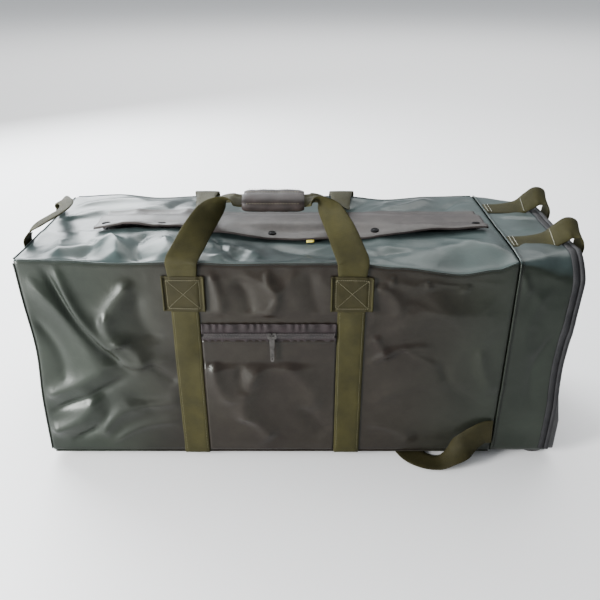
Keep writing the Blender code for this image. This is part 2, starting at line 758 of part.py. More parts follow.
def build_wheel(name, side):
    """A tyre on a hub with a sleeve bush, turning on a fixed headed axle."""
    at = (WHEEL_X, side * WHEEL_Y, WHEEL_R)
    half = WHEEL_WIDE / 2
    seat = HUB_R + GAP
    tyre = [
        (WHEEL_R, half * 0.35),
        (WHEEL_R, -half * 0.35),
        (WHEEL_R - 0.0015, -half * 0.75),
        (WHEEL_R - 0.0050, -half),
        (seat, -half),
        (seat, half),
        (WHEEL_R - 0.0050, half),
        (WHEEL_R - 0.0015, half * 0.75),
    ]
    smooth(turned(f"{name}_wheel_tyre", tyre, at, (0, 1, 0), "rubber"))
    web, inner = 0.004, BUSH_R + GAP
    hub = [
        (HUB_R, half - 0.001),
        (HUB_R, 0.001 - half),
        (HUB_R - 0.004, 0.001 - half),
        (HUB_R - 0.005, -web),
        (inner + 0.004, -web),
        (inner + 0.003, -half),
        (inner, -half),
        (inner, half),
        (inner + 0.003, half),
        (inner + 0.004, web),
        (HUB_R - 0.005, web),
        (HUB_R - 0.004, half - 0.001),
    ]
    smooth(turned(f"{name}_wheel_hub", hub, at, (0, 1, 0), "hub"))
    bore = AXLE_R + GAP
    bush = [(BUSH_R, half), (BUSH_R, -half), (bore, -half), (bore, half)]
    smooth(turned(f"{name}_wheel_bush", bush, at, (0, 1, 0), "steel", 24))
    outer = side * (HOUSING_Y[1] + 0.0015)
    inward = side * (HOUSING_Y[0] - 0.0030)
    centre = (WHEEL_X, (outer + inward) / 2, WHEEL_R)
    axle = cylinder(f"{name}_axle", AXLE_R, abs(outer - inward), centre, (0, 1, 0), "steel")
    head_at = (WHEEL_X, side * (HOUSING_Y[1] + 0.0013), WHEEL_R)
    head = cylinder(f"{name}_axle_head", 0.0070, 0.0016, head_at, (0, 1, 0), "steel")
    nut_at = (WHEEL_X, side * (HOUSING_Y[0] - 0.0024), WHEEL_R)
    nut = cylinder(f"{name}_axle_nut", 0.0065, 0.0036, nut_at, (0, 1, 0), "steel", 6)
    join(axle, head)
    join(axle, nut)


def build_running_gear():
    for name, side in (("front", -1), ("rear", 1)):
        build_housing(f"{name}_wheel_housing", side)
        build_wheel(name, side)


def build_feet():
    """Moulded feet under the end away from the wheels, as tall as the base is high."""
    high = BASE - GAP
    profile = [(0.0, high), (0.020, high), (0.019, high - 0.003), (0.0145, 0.0015), (0.0130, 0.0), (0.0, 0.0)]
    for name, side in (("front", -1), ("rear", 1)):
        foot = turned(f"{name}_foot", profile, (LEFT + 0.050, side * 0.120, 0), (0, 0, 1), "plastic", 24)
        smooth(foot)


clear_scene()
MATERIALS = make_materials()
PARTS = new_collection("rolling_duffel_bag")
CUTTERS = new_collection("cutters")
CUTTERS.hide_render = True
ROOT = bpy.data.objects.new("bag_frame", None)
PARTS.objects.link(ROOT)
build_walls()
build_stiffener()
build_end_section()
build_pipings()
build_load_straps()
build_patches()
build_carry_handles()
build_left_handle()
build_end_straps()
build_bottom_strap()
build_main_zip()
build_pocket()
build_flap()
build_snaps()
build_running_gear()
build_feet()
ROOT.location = SHIFT
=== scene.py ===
"""Looks of the rolling duffel bag: soft cloth body, webbing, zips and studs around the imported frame."""

import math

import bpy
import numpy as np
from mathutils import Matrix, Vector, noise


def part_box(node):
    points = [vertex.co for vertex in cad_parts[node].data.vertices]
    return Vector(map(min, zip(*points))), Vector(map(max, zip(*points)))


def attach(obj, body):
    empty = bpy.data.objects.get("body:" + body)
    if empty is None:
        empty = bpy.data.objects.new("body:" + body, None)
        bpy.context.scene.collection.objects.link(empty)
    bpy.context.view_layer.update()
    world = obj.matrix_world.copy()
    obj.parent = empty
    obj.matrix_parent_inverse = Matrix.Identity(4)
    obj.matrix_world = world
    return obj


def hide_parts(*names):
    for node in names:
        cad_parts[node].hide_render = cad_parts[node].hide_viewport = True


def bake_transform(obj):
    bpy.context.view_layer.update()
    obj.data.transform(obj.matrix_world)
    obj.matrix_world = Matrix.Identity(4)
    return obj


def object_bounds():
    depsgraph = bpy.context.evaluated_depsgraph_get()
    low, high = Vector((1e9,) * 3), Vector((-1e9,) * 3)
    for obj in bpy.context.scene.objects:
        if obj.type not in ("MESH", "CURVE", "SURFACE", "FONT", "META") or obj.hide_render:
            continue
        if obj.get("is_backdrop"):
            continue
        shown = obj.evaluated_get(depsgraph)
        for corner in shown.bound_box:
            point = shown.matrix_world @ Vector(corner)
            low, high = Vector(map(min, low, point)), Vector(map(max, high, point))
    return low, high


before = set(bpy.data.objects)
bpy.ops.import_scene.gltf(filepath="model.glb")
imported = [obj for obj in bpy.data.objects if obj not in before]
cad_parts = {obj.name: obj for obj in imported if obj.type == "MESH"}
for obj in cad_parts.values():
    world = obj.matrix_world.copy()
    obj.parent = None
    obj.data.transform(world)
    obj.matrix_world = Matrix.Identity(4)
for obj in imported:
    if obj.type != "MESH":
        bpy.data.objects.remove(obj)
CAD_BOX = [list(corner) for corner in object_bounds()]

# ---- sizes read from the frame
# Points below are written from the middle of the cloth box, and moved into the frame by shifted().

LENGTH, DEPTH = 0.900, 0.330
SHIFT = np.array(
    [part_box("left_end_panel")[0][0] + LENGTH / 2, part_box("front_panel")[0][1] + DEPTH / 2, 0.0]
)
LEFT, RIGHT, FRONT, REAR = -LENGTH / 2, LENGTH / 2, -DEPTH / 2, DEPTH / 2
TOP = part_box("top_front_panel")[1][2]
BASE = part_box("base_panel")[0][2]
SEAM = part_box("end_section")[0][0] - SHIFT[0]
SECTION_END = RIGHT - 0.006
STRAP_X = {"left": -0.185, "right": 0.083}
STUD_X = (-0.335, -0.239, -0.048, 0.129, 0.304)
TAB_X = (0.011, 0.024)
FLAP_X = (-0.353, 0.322)
ZIP_X = (-0.3457, 0.3157)
POCKET_X = (-0.1605, 0.0588)
POCKET_ZIP_Z = 0.2610
GRIP_MID = -0.043
GRIP_LENGTH = 0.100
HINGE_OUT = 0.0045
EDGE_ROUND = 0.007
STEP = 0.004  # size of the body's mesh cells


def shifted(points):
    return np.asarray(points, dtype=float) + SHIFT


# ---- how the cloth has settled


def smooth_step(t):
    t = np.clip(t, 0.0, 1.0)
    return t * t * (3 - 2 * t)


def curve_through(x, knots):
    """Smooth reading of (x, value) knots."""
    xs = np.array([knot[0] for knot in knots])
    ys = np.array([knot[1] for knot in knots])
    index = np.clip(np.searchsorted(xs, x) - 1, 0, len(xs) - 2)
    t = smooth_step((x - xs[index]) / (xs[index + 1] - xs[index]))
    return ys[index] + (ys[index + 1] - ys[index]) * t


EDGE_DROOP = (
    (-0.450, 0.004), (-0.380, 0.003), (-0.290, -0.002), (-0.185, 0.000), (-0.100, -0.003), (-0.020, -0.002),
    (0.083, -0.002), (0.150, -0.009), (0.255, -0.021), (0.310, -0.013), (0.345, -0.001), (0.450, 0.000),
)
REAR_DROOP = (
    (-0.450, -0.001), (-0.360, 0.003), (-0.280, -0.004), (-0.185, 0.000), (-0.060, -0.005), (0.083, 0.000),
    (0.170, -0.008), (0.260, -0.002), (0.345, 0.000), (0.450, 0.000),
)
TOP_SAG = (
    (-0.450, 0.002), (-0.370, 0.006), (-0.300, 0.011), (-0.210, 0.009), (-0.140, 0.001), (-0.050, -0.007),
    (0.010, -0.009), (0.090, -0.007), (0.150, -0.001), (0.250, 0.002), (0.315, 0.006), (0.345, 0.001),
    (0.450, 0.000),
)
# Folds in the front: (x, z) from and to, half width, height
FRONT_FOLDS = (
    (-0.405, 0.378, -0.292, 0.190, 0.007, -0.0055),
    (-0.385, 0.378, -0.272, 0.200, 0.010, 0.0050),
    (-0.425, 0.350, -0.345, 0.215, 0.018, 0.0060),
    (-0.272, 0.352, -0.318, 0.292, 0.015, 0.0080),
    (-0.318, 0.295, -0.300, 0.240, 0.016, 0.0095),
    (-0.302, 0.250, -0.258, 0.204, 0.015, 0.0080),
    (-0.262, 0.330, -0.240, 0.250, 0.018, -0.0060),
    (-0.440, 0.140, -0.325, 0.202, 0.017, 0.0085),
    (-0.325, 0.202, -0.215, 0.212, 0.012, 0.0050),
    (-0.430, 0.108, -0.300, 0.172, 0.008, -0.0060),
    (-0.445, 0.062, -0.352, 0.132, 0.020, 0.0110),
    (-0.352, 0.060, -0.280, 0.120, 0.018, 0.0100),
    (-0.280, 0.120, -0.212, 0.130, 0.012, 0.0060),
    (-0.400, 0.045, -0.330, 0.110, 0.008, -0.0060),
    (-0.330, 0.040, -0.215, 0.085, 0.010, 0.0050),
    (-0.440, 0.290, -0.405, 0.180, 0.012, -0.0050),
    (-0.250, 0.200, -0.212, 0.170, 0.009, -0.0045),
    (-0.140, 0.372, -0.128, 0.300, 0.010, 0.0055),
    (-0.098, 0.360, -0.082, 0.300, 0.012, -0.0050),
    (-0.052, 0.378, -0.036, 0.335, 0.009, 0.0060),
    (-0.036, 0.335, -0.055, 0.295, 0.010, 0.0055),
    (0.015, 0.372, 0.030, 0.300, 0.012, -0.0035),
    (-0.142, 0.212, -0.118, 0.130, 0.014, 0.0070),
    (-0.100, 0.200, -0.088, 0.150, 0.010, -0.0045),
    (-0.070, 0.195, -0.100, 0.095, 0.018, 0.0075),
    (-0.100, 0.100, -0.050, 0.052, 0.014, 0.0060),
    (-0.030, 0.205, 0.030, 0.120, 0.018, 0.0050),
    (0.000, 0.110, 0.045, 0.060, 0.014, -0.0040),
    (0.125, 0.350, 0.165, 0.300, 0.012, 0.0050),
    (0.150, 0.268, 0.320, 0.292, 0.028, 0.0080),
    (0.125, 0.255, 0.150, 0.215, 0.010, 0.0050),
    (0.120, 0.208, 0.215, 0.236, 0.007, 0.0040),
    (0.175, 0.236, 0.230, 0.200, 0.006, 0.0030),
    (0.210, 0.330, 0.310, 0.250, 0.020, 0.0045),
    (0.130, 0.130, 0.280, 0.170, 0.018, 0.0040),
    (0.240, 0.200, 0.325, 0.110, 0.014, -0.0050),
    (0.300, 0.230, 0.332, 0.150, 0.012, 0.0050),
    (0.120, 0.080, 0.200, 0.045, 0.012, 0.0035),
    (0.147, 0.372, 0.150, 0.352, 0.0035, 0.0030),
    (0.202, 0.366, 0.206, 0.345, 0.0035, 0.0032),
    (0.266, 0.360, 0.262, 0.340, 0.0040, 0.0026),
    (0.395, 0.340, 0.380, 0.220, 0.014, 0.0040),
    (0.425, 0.260, 0.405, 0.120, 0.010, -0.0030),
    (0.352, 0.372, 0.366, 0.335, 0.006, 0.0040),
)
# Folds in the top: (x, y) from and to, half width, height
TOP_FOLDS = (
    (-0.313, -0.088, -0.289, -0.160, 0.015, 0.0120),
    (-0.313, -0.088, -0.400, -0.140, 0.016, 0.0070),
    (-0.262, -0.075, -0.250, -0.158, 0.014, -0.0070),
    (-0.225, -0.085, -0.205, -0.150, 0.016, 0.0050),
    (-0.140, -0.070, -0.085, -0.155, 0.010, -0.0060),
    (-0.110, -0.100, -0.135, -0.150, 0.012, 0.0050),
    (-0.345, -0.085, -0.350, -0.155, 0.010, -0.0045),
    (-0.400, -0.080, -0.380, -0.150, 0.010, 0.0040),
    (-0.170, -0.090, -0.060, -0.140, 0.014, 0.0050),
    (-0.120, -0.080, -0.050, -0.150, 0.010, -0.0030),
    (-0.040, -0.090, 0.050, -0.130, 0.014, -0.0040),
    (0.120, -0.130, 0.240, -0.110, 0.014, -0.0050),
    (0.130, -0.095, 0.300, -0.090, 0.012, 0.0030),
    (0.250, -0.070, 0.335, -0.130, 0.010, 0.0030),
    (-0.440, 0.010, -0.370, 0.060, 0.012, 0.0040),
    (-0.420, 0.090, -0.300, 0.120, 0.014, 0.0045),
    (-0.240, 0.070, -0.200, 0.140, 0.014, -0.0040),
    (-0.100, 0.080, 0.010, 0.130, 0.016, 0.0040),
    (0.060, 0.075, 0.130, 0.140, 0.012, -0.0040),
    (0.160, 0.080, 0.250, 0.130, 0.012, 0.0050),
    (0.270, 0.070, 0.330, 0.130, 0.010, -0.0035),
    (0.370, -0.030, 0.425, 0.030, 0.016, -0.0040),
    (0.370, 0.040, 0.430, 0.020, 0.012, 0.0030),
)


def fold_height(u, v, folds):
    """Sum of soft-ended ridges and valleys along straight stretches of a flat panel."""
    total = np.zeros_like(u)
    for u0, v0, u1, v1, half, height in folds:
        along = np.array([u1 - u0, v1 - v0])
        length = np.hypot(*along)
        t = ((u - u0) * along[0] + (v - v0) * along[1]) / length**2
        bow = 0.12 * length * np.sin(np.clip(t, 0, 1) * math.pi) * math.sin(37 * u0 + 91 * v0)
        across = ((u - u0) * along[1] - (v - v0) * along[0]) / length - bow
        ends = smooth_step((t + 0.15) / 0.3) * smooth_step((1.15 - t) / 0.3)
        spread = half * (0.7 + 0.6 * np.clip(t, 0, 1))
        total += height * ends * np.exp(-np.abs(across / spread) ** 1.6)
    return total


def noise_at(points, scale, offset=0.0):
    return np.array([noise.noise(Vector(p) * scale + Vector((offset, 0, 0))) for p in points])


def crumple(points):
    """Soft creases of stiff coated cloth, in metres."""
    broad = noise_at(points, 5.5, 3.1) * 0.0050
    bent = points + 0.020 * noise_at(points, 9.0, 8.7)[:, None]
    ridge = 1 - np.abs(noise_at(bent, 8.5, 21.4)) * 2.6
    fine = 1 - np.abs(noise_at(bent, 19.0, 5.2)) * 2.4
    patchy = smooth_step(noise_at(points, 4.0, 12.3) * 2.2 + 0.5)
    return broad + (0.0034 * np.clip(ridge, 0, 1) ** 2 + 0.0012 * np.clip(fine, 0, 1) ** 2) * patchy - 0.0010


def top_height(x, y):
    """How far the top has settled, from its seams to the zip and on to the rear."""
    inward = y - FRONT
    near = smooth_step(inward / 0.06)
    sag = curve_through(x, TOP_SAG)
    before_zip = 1 - smooth_step((inward - 0.118) / 0.030)
    behind_zip = smooth_step((inward - 0.200) / 0.040) * (1 - smooth_step((inward - 0.270) / 0.060))
    at_rear = curve_through(x, REAR_DROOP) * smooth_step((y - REAR + 0.060) / 0.055)
    return curve_through(x, EDGE_DROOP) * (1 - near) + sag * near * (before_zip + 0.5 * behind_zip) + at_rear


BELLY = 0.0045  # how far each side bulges at half height
FACE_REACH = 0.035  # how deep behind a face its own movement fades out
SEAM_FADE = 0.030  # how far from a seam the folds reach their full height
REAR_SHARE, END_SHARE = 0.7, 0.6  # how strong the front's folds are on the rear and on the plain end
KEEPER_Y, KEEPER_CLEAR = 0.080, 0.044
SUNKEN_LEFT = (0.011, 0.235, 0.085)  # depth, height above the floor, half height
SUNKEN_RIGHT = (0.005, 0.205, 0.070)


def hollow(z, depth, middle, half):
    return depth * np.exp(-(((z - middle) / half) ** 2))


def settle(points):
    """Moves points on or just outside the cloth box to where the cloth has settled."""
    points = np.array(points, dtype=float)
    x, y, z = points.T
    moved = points.copy()
    rough = crumple(points)
    belly = BELLY * np.sin(np.clip((z - BASE) / (TOP - BASE), 0, 1) * math.pi)
    edge_calm = smooth_step((TOP - z) / SEAM_FADE) * smooth_step((z - BASE) / SEAM_FADE)
    calm_ends = smooth_step((x - LEFT) / 0.020)
    seam_calm = 0.25 + 0.75 * smooth_step((np.abs(x - SEAM) - 0.004) / 0.025)

    # front, held flat round the pocket's zip
    by_front = 1 - smooth_step((y - FRONT - 0.002) / FACE_REACH)
    folds = fold_height(x, z, FRONT_FOLDS) * calm_ends
    out_front = (folds + rough * seam_calm + belly) * edge_calm
    zip_near = smooth_step((0.030 - np.maximum(POCKET_X[0] - x, x - POCKET_X[1])) / 0.024)
    zip_near *= smooth_step((0.054 - np.abs(z - POCKET_ZIP_Z + 0.010)) / 0.018)
    moved[:, 1] -= (out_front * (1 - zip_near) + 0.0006 * zip_near) * by_front

    # rear, with the front's folds mirrored
    by_rear = smooth_step((y - REAR + 0.037) / FACE_REACH)
    rear_folds = REAR_SHARE * fold_height(-x, z, FRONT_FOLDS) * calm_ends * smooth_step((SEAM - x) / 0.03)
    moved[:, 1] += (rear_folds + rough * seam_calm + belly) * edge_calm * by_rear

    # plain end, held flat under the handle's keepers, and wheeled end
    by_left = 1 - smooth_step((x - LEFT - 0.002) / FACE_REACH)
    by_right = smooth_step((x - SECTION_END + 0.030) / 0.028)
    end_calm = edge_calm * smooth_step((REAR - np.abs(y)) / 0.030)
    end_folds = END_SHARE * fold_height(-y * 1.1 - 0.29, z, FRONT_FOLDS)
    keeper_near = smooth_step((KEEPER_CLEAR - np.abs(np.abs(y) - KEEPER_Y)) / 0.014)
    keeper_near *= smooth_step((z - TOP + 0.080) / 0.016)
    moved[:, 0] -= (end_folds + rough + belly) * end_calm * by_left * (1 - keeper_near)
    moved[:, 0] += (rough + belly) * 0.5 * end_calm * by_right * smooth_step((z - 0.13) / 0.04)

    # top, kept clear of the main zip
    by_top = smooth_step((z - (TOP - 0.055)) / 0.053)
    zip_clear = smooth_step((np.abs(y) - 0.017) / 0.020)
    side_calm = smooth_step((REAR - np.abs(y)) / 0.020) * calm_ends
    top_rough = (fold_height(x, y, TOP_FOLDS) + rough * 0.9 * seam_calm) * zip_clear * side_calm
    moved[:, 2] += (top_height(x, y) + top_rough) * by_top

    # both ends pulled in at half height
    sunken_left = hollow(z, *SUNKEN_LEFT) * (1 - 0.5 * smooth_step((y - FRONT) / DEPTH))
    moved[:, 0] += sunken_left * (1 - smooth_step((x - LEFT) / 0.17))
    sunken_right = hollow(z, *SUNKEN_RIGHT) * smooth_step((z - 0.10) / 0.05)
    moved[:, 0] -= sunken_right * smooth_step((x - SEAM + 0.02) / (RIGHT - SEAM))
    return moved


# ---- mesh helpers


def make_mesh(name, points, faces, uvs=None):
    mesh = bpy.data.meshes.new(name)
    mesh.from_pydata([tuple(p) for p in shifted(points)], [], faces)
    if uvs is not None:
        layer = mesh.uv_layers.new(name="UVMap")
        flat = np.zeros((len(mesh.loops), 2))
        index = np.zeros(len(mesh.loops), dtype=int)
        mesh.loops.foreach_get("vertex_index", index)
        flat[:] = np.asarray(uvs)[index]
        layer.data.foreach_set("uv", flat.ravel())
    mesh.validate()
    obj = bpy.data.objects.new(name, mesh)
    bpy.context.scene.collection.objects.link(obj)
    mesh.shade_smooth()
    return obj


def sharpened(obj, angle):
    obj.data.set_sharp_from_angle(angle=math.radians(angle))
    return obj


def dressed(obj, material, body="bag", nodes=()):
    """Gives a piece its material and its body, and hides the nodes it stands for."""
    obj.data.materials.clear()
    obj.data.materials.append(MATERIALS[material])
    if body:
        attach(obj, body)
    if nodes:
        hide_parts(*nodes)
    return obj


def line_of(x, y, z):
    """Points from three coordinates, any of which may be a single number."""
    return np.column_stack(np.broadcast_arrays(x, y, z)).astype(float)


def run_along(line):
    """Distance along a line of points, from its first."""
    return np.concatenate([[0], np.cumsum(np.linalg.norm(np.diff(line, axis=0), axis=1))])


def grid_faces(rows, columns, wrap=False):
    faces = []
    for i in range(rows - 1):
        for j in range(columns if wrap else columns - 1):
            k = (j + 1) % columns
            faces.append((i * columns + j, i * columns + k, (i + 1) * columns + k, (i + 1) * columns + j))
    return faces


def capped_faces(rows, columns):
    """Faces of a run of closed rings, with one more on its first ring and one on its last."""
    last = (rows - 1) * columns
    ends = [tuple(range(columns))[::-1], tuple(last + j for j in range(columns))]
    return grid_faces(rows, columns, wrap=True) + ends


def flipped(faces):
    return [face[::-1] for face in faces]


def faces_outside(points, faces, inside):
    """The faces left when those whose middles are inside(x, y, z) are cut away."""
    middles = np.array([points[list(face)].mean(axis=0) for face in faces])
    return [face for face, cut in zip(faces, inside(*middles.T)) if not cut]


def solidify(obj, thickness, offset=1.0):
    modifier = obj.modifiers.new("thickness", "SOLIDIFY")
    modifier.thickness = thickness
    modifier.offset = offset
    return obj


def spread(low, high, step=STEP):
    return np.linspace(low, high, max(2, int(round((high - low) / step)) + 1))


def eased(values, at):
    """Catmull-Rom reading of rows of numbers at fractional indices."""
    values = np.asarray(values, dtype=float)
    at = np.asarray(at, dtype=float)
    index = np.clip(at.astype(int), 0, len(values) - 2)
    t = (at - index)[:, None]
    p0 = values[np.clip(index - 1, 0, None)]
    p1, p2 = values[index], values[index + 1]
    p3 = values[np.clip(index + 2, None, len(values) - 1)]
    square = (2 * p0 - 5 * p1 + 4 * p2 - p3) * t**2
    cube = (3 * p1 - p0 - 3 * p2 + p3) * t**3
    return 0.5 * (2 * p1 + (p2 - p0) * t + square + cube)


def unit(vectors):
    return vectors / np.maximum(np.linalg.norm(vectors, axis=-1, keepdims=True), 1e-12)


def ribbon(name, stations, per_span=8, thickness=0.0018, settled=False, cup=0.0):
    """Webbing lofted through (centre, direction across, width), with UVs in metres across and along."""
    count = (len(stations) - 1) * per_span + 1
    at = np.arange(count) / per_span
    line = eased([s[0] for s in stations], at)
    side = eased([unit(np.array(s[1], dtype=float)) for s in stations], at)
    width = eased([[s[2]] for s in stations], at)[:, 0]
    along = unit(np.gradient(line, axis=0))
    side = unit(side - along * np.sum(side * along, axis=1, keepdims=True))
    face = np.cross(along, side)
    run = run_along(line)
    upper = [(1.0, 0.0)] + [(share, 1.0) for share in (0.94, 0.6, 0.2, -0.2, -0.6, -0.94)]
    ring = upper + [(-share, -up) for share, up in upper]
    points, uvs = [], []
    for i in range(count):
        for share, up in ring:
            lift = up * thickness / 2 + cup * (1 - share**2)
            points.append(line[i] + side[i] * share * width[i] / 2 + face[i] * lift)
            uvs.append((share * width[i] / 2, run[i]))
    points = np.array(points)
    return make_mesh(name, settle(points) if settled else points, capped_faces(count, len(ring)), uvs)


def stitches(name, lines, pitch=0.0036, length=0.0025, radius=0.00038):
    """Sewing thread: one short spindle for each stitch along each line of points."""
    points, faces = [], []
    for line in lines:
        line = np.asarray(line, dtype=float)
        run = run_along(line)
        for start in np.arange(pitch / 2, run[-1] - length, pitch):
            ends = (start, start + length)
            a, b = (np.array([np.interp(d, run, line[:, k]) for k in range(3)]) for d in ends)
            ahead = unit(b - a)
            one = unit(np.cross(ahead, (0.31, 0.52, 0.79)))
            two = np.cross(ahead, one)
            base = len(points)
            middle = (a + b) / 2
            points += [a, b] + [middle + radius * v for v in (one, two, -one, -two)]
            for k in range(4):
                m = (k + 1) % 4
                faces += [(base, base + 2 + m, base + 2 + k), (base + 1, base + 2 + k, base + 2 + m)]
    return make_mesh(name, np.array(points), faces)


def tube(name, line, radius, sides=8):
    """A round cord or piping along a line of points."""
    line = np.asarray(line, dtype=float)
    along = unit(np.gradient(line, axis=0))
    normal = np.cross(along[0], (0.2, 0.3, 0.93))
    turn = np.arange(sides) * 2 * math.pi / sides
    rings = []
    for centre, ahead in zip(line, along):
        normal = unit(normal - ahead * np.dot(normal, ahead))
        other = np.cross(ahead, normal)
        rings.append(centre + radius * (np.cos(turn)[:, None] * normal + np.sin(turn)[:, None] * other))
    return make_mesh(name, np.concatenate(rings), capped_faces(len(line), sides))


# ---- materials


class Nodes:
    """Short names for building one material's node tree, new by name or one already there."""

    def __init__(self, material):
        if isinstance(material, str):
            material = bpy.data.materials.new(material)
            material.use_nodes = True
        self.material, self.tree = material, material.node_tree
        self.shader = self.tree.nodes["Principled BSDF"]

    def feed(self, socket, value):
        """Links a socket to another one, or sets it to a number or a colour."""
        if isinstance(value, bpy.types.NodeSocket):
            self.tree.links.new(value, socket)
        else:
            socket.default_value = (*value, 1.0)[:4] if isinstance(value, tuple) else value

    def add(self, kind, inputs, output, **settings):
        node = self.tree.nodes.new(kind)
        for key, value in settings.items():
            setattr(node, key, value)
        for key, value in inputs.items():
            self.feed(node.inputs[key], value)
        return node.outputs[output]

    def coordinates(self, output="Object"):
        return self.add("ShaderNodeTexCoord", {}, output)

    def axis(self, vector, name):
        return self.add("ShaderNodeSeparateXYZ", {"Vector": vector}, name)

    def math(self, operation, *values):
        return self.add("ShaderNodeMath", dict(enumerate(values)), "Value", operation=operation)

    def within(self, source, low, high):
        """0 below low, 1 above high, smooth between."""
        inputs = {"From Min": low, "From Max": high, "Value": source}
        return self.add("ShaderNodeMapRange", inputs, "Result", interpolation_type="SMOOTHSTEP")

    def noise(self, scale, detail=4.0, roughness=0.55, distortion=0.0, kind="FBM"):
        inputs = {"Scale": scale, "Detail": detail, "Roughness": roughness, "Distortion": distortion}
        inputs["Vector"] = self.coordinates()
        return self.add("ShaderNodeTexNoise", inputs, "Fac", noise_type=kind)

    def wave(self, scale, vector, direction):
        inputs = {"Scale": scale, "Detail": 1.0, "Vector": vector}
        return self.add("ShaderNodeTexWave", inputs, "Fac", bands_direction=direction)

    def ramp(self, source, low, high, start=0.3, stop=0.7):
        node = self.tree.nodes.new("ShaderNodeValToRGB")
        first, last = node.color_ramp.elements
        first.position, last.position = start, stop
        first.color, last.color = (*low, 1.0), (*high, 1.0)
        self.feed(node.inputs["Fac"], source)
        return node.outputs["Color"]

    def mix(self, factor, a, b):
        return self.add("ShaderNodeMix", {0: factor, 6: a, 7: b}, 2, data_type="RGBA")

    def bump(self, height, strength, distance, after=None):
        inputs = {"Strength": strength, "Distance": distance, "Height": height}
        if after:
            inputs["Normal"] = after
        return self.add("ShaderNodeBump", inputs, "Normal")

    def scalar(self, source, low, high):
        return self.add("ShaderNodeMapRange", {"To Min": low, "To Max": high, "Value": source}, "Result")

    def done(self, colour, roughness, normal=None, **constants):
        inputs = {"Base Color": colour, "Roughness": roughness}
        inputs.update((key.replace("_", " "), value) for key, value in constants.items())
        if normal:
            inputs["Normal"] = normal
        for key, value in inputs.items():
            self.feed(self.shader.inputs[key], value)
        return self.material


def coated_cloth(name, light, dark, rough):
    """Glossy coated nylon: a tight weave under the coat, small creases and dusty patches."""
    n = Nodes(name)
    colour = n.ramp(n.noise(6.0, 5.0, 0.6), dark, light, 0.35, 0.70)
    colour = n.mix(0.35, colour, n.ramp(n.noise(55.0, 6.0, 0.7), dark, light, 0.42, 0.62))
    creases = n.noise(16.0, 3.0, 0.5, 0.9, kind="RIDGED_MULTIFRACTAL")
    small = n.noise(48.0, 4.0, 0.55, 0.6)
    weave = n.mix(0.5, n.wave(420.0, n.coordinates(), "X"), n.wave(420.0, n.coordinates(), "Z"))
    normal = n.bump(creases, 0.30, 0.0016)
    normal = n.bump(small, 0.35, 0.0012, normal)
    normal = n.bump(weave, 0.10, 0.0002, normal)
    roughness = n.scalar(n.noise(22.0, 5.0, 0.6), *rough)
    return n.done(colour, roughness, normal, Specular_IOR_Level=0.22, Specular_Tint=(0.94, 1.0, 0.93))


def body_cloth(name, plain, ends, top):
    """The coated cloth of the body: browner in its middle, greener at its ends, and paler and bluer on its
    upward top faces, where the colour is painted light and sheen from above.
    """
    n = Nodes(coated_cloth(name, *plain, (0.25, 0.38)))
    patches, place = n.noise(6.0, 5.0, 0.6), n.coordinates()
    at_end = n.within(n.math("ABSOLUTE", n.axis(place, "X")), 0.12, 0.40)
    # Painted light: cloth facing up near the top takes the paler teal top colour in place of the light and
    # sheen falling on it.
    upwards = n.within(n.axis(n.coordinates("Normal"), "Z"), 0.35, 0.75)
    lit_top_mask = n.math("MULTIPLY", upwards, n.within(n.axis(place, "Z"), TOP - 0.050, TOP - 0.030))
    base = n.shader.inputs["Base Color"]
    colour = n.mix(at_end, base.links[0].from_socket, n.ramp(patches, ends[1], ends[0], 0.35, 0.70))
    n.feed(base, n.mix(lit_top_mask, colour, n.ramp(patches, top[1], top[0], 0.35, 0.70)))
    return n.material


def webbing(name, light, dark):
    """Ribbed webbing: fine ribs along it, a herringbone across them, a little wear."""
    n = Nodes(name)
    uv = n.coordinates("UV")
    ribs = n.wave(190.0, uv, "X")
    weft = n.wave(260.0, uv, "DIAGONAL")
    fuzz = n.noise(320.0, 3.0, 0.6)
    worn = n.noise(26.0, 5.0, 0.65)
    colour = n.ramp(worn, dark, light, 0.3, 0.75)
    # Painted shade: the rib stripes in the colour follow the rib bump and are darker in the grooves.
    colour = n.mix(0.30, colour, n.ramp(ribs, dark, light, 0.1, 0.8))
    normal = n.bump(ribs, 0.55, 0.0005)
    normal = n.bump(weft, 0.30, 0.0003, normal)
    normal = n.bump(fuzz, 0.25, 0.0003, normal)
    return n.done(colour, n.scalar(fuzz, 0.55, 0.80), normal, Specular_IOR_Level=0.12)


def woven(name, light, dark, scale, rough=(0.65, 0.85)):
    """Plain woven cloth or thread: a fine weave and a faint unevenness."""
    n = Nodes(name)
    weave = n.mix(0.5, n.wave(scale, n.coordinates(), "X"), n.wave(scale, n.coordinates(), "Z"))
    colour = n.ramp(n.noise(40.0, 5.0, 0.6), dark, light, 0.3, 0.7)
    normal = n.bump(weave, 0.35, 0.0003)
    normal = n.bump(n.noise(90.0, 3.0), 0.2, 0.0005, normal)
    return n.done(colour, n.scalar(n.noise(30.0), *rough), normal, Specular_IOR_Level=0.25)


def moulded(name, light, dark, rough=(0.35, 0.55), grain=700.0, metallic=0.0, shine=0.5):
    """Moulded or cast pieces: fine grain, faint wear and dulled patches."""
    n = Nodes(name)
    colour = n.ramp(n.noise(70.0, 5.0, 0.65), dark, light, 0.35, 0.7)
    normal = n.bump(n.noise(grain, 2.0), 0.15, 0.0002)
    roughness = n.scalar(n.noise(45.0, 5.0), *rough)
    return n.done(colour, roughness, normal, Metallic=metallic, Specular_IOR_Level=shine)


def cast_metal(name, light, dark, rough):
    return moulded(name, light, dark, rough, 900.0, 1.0)


def grey(level):
    return (level, level, level)


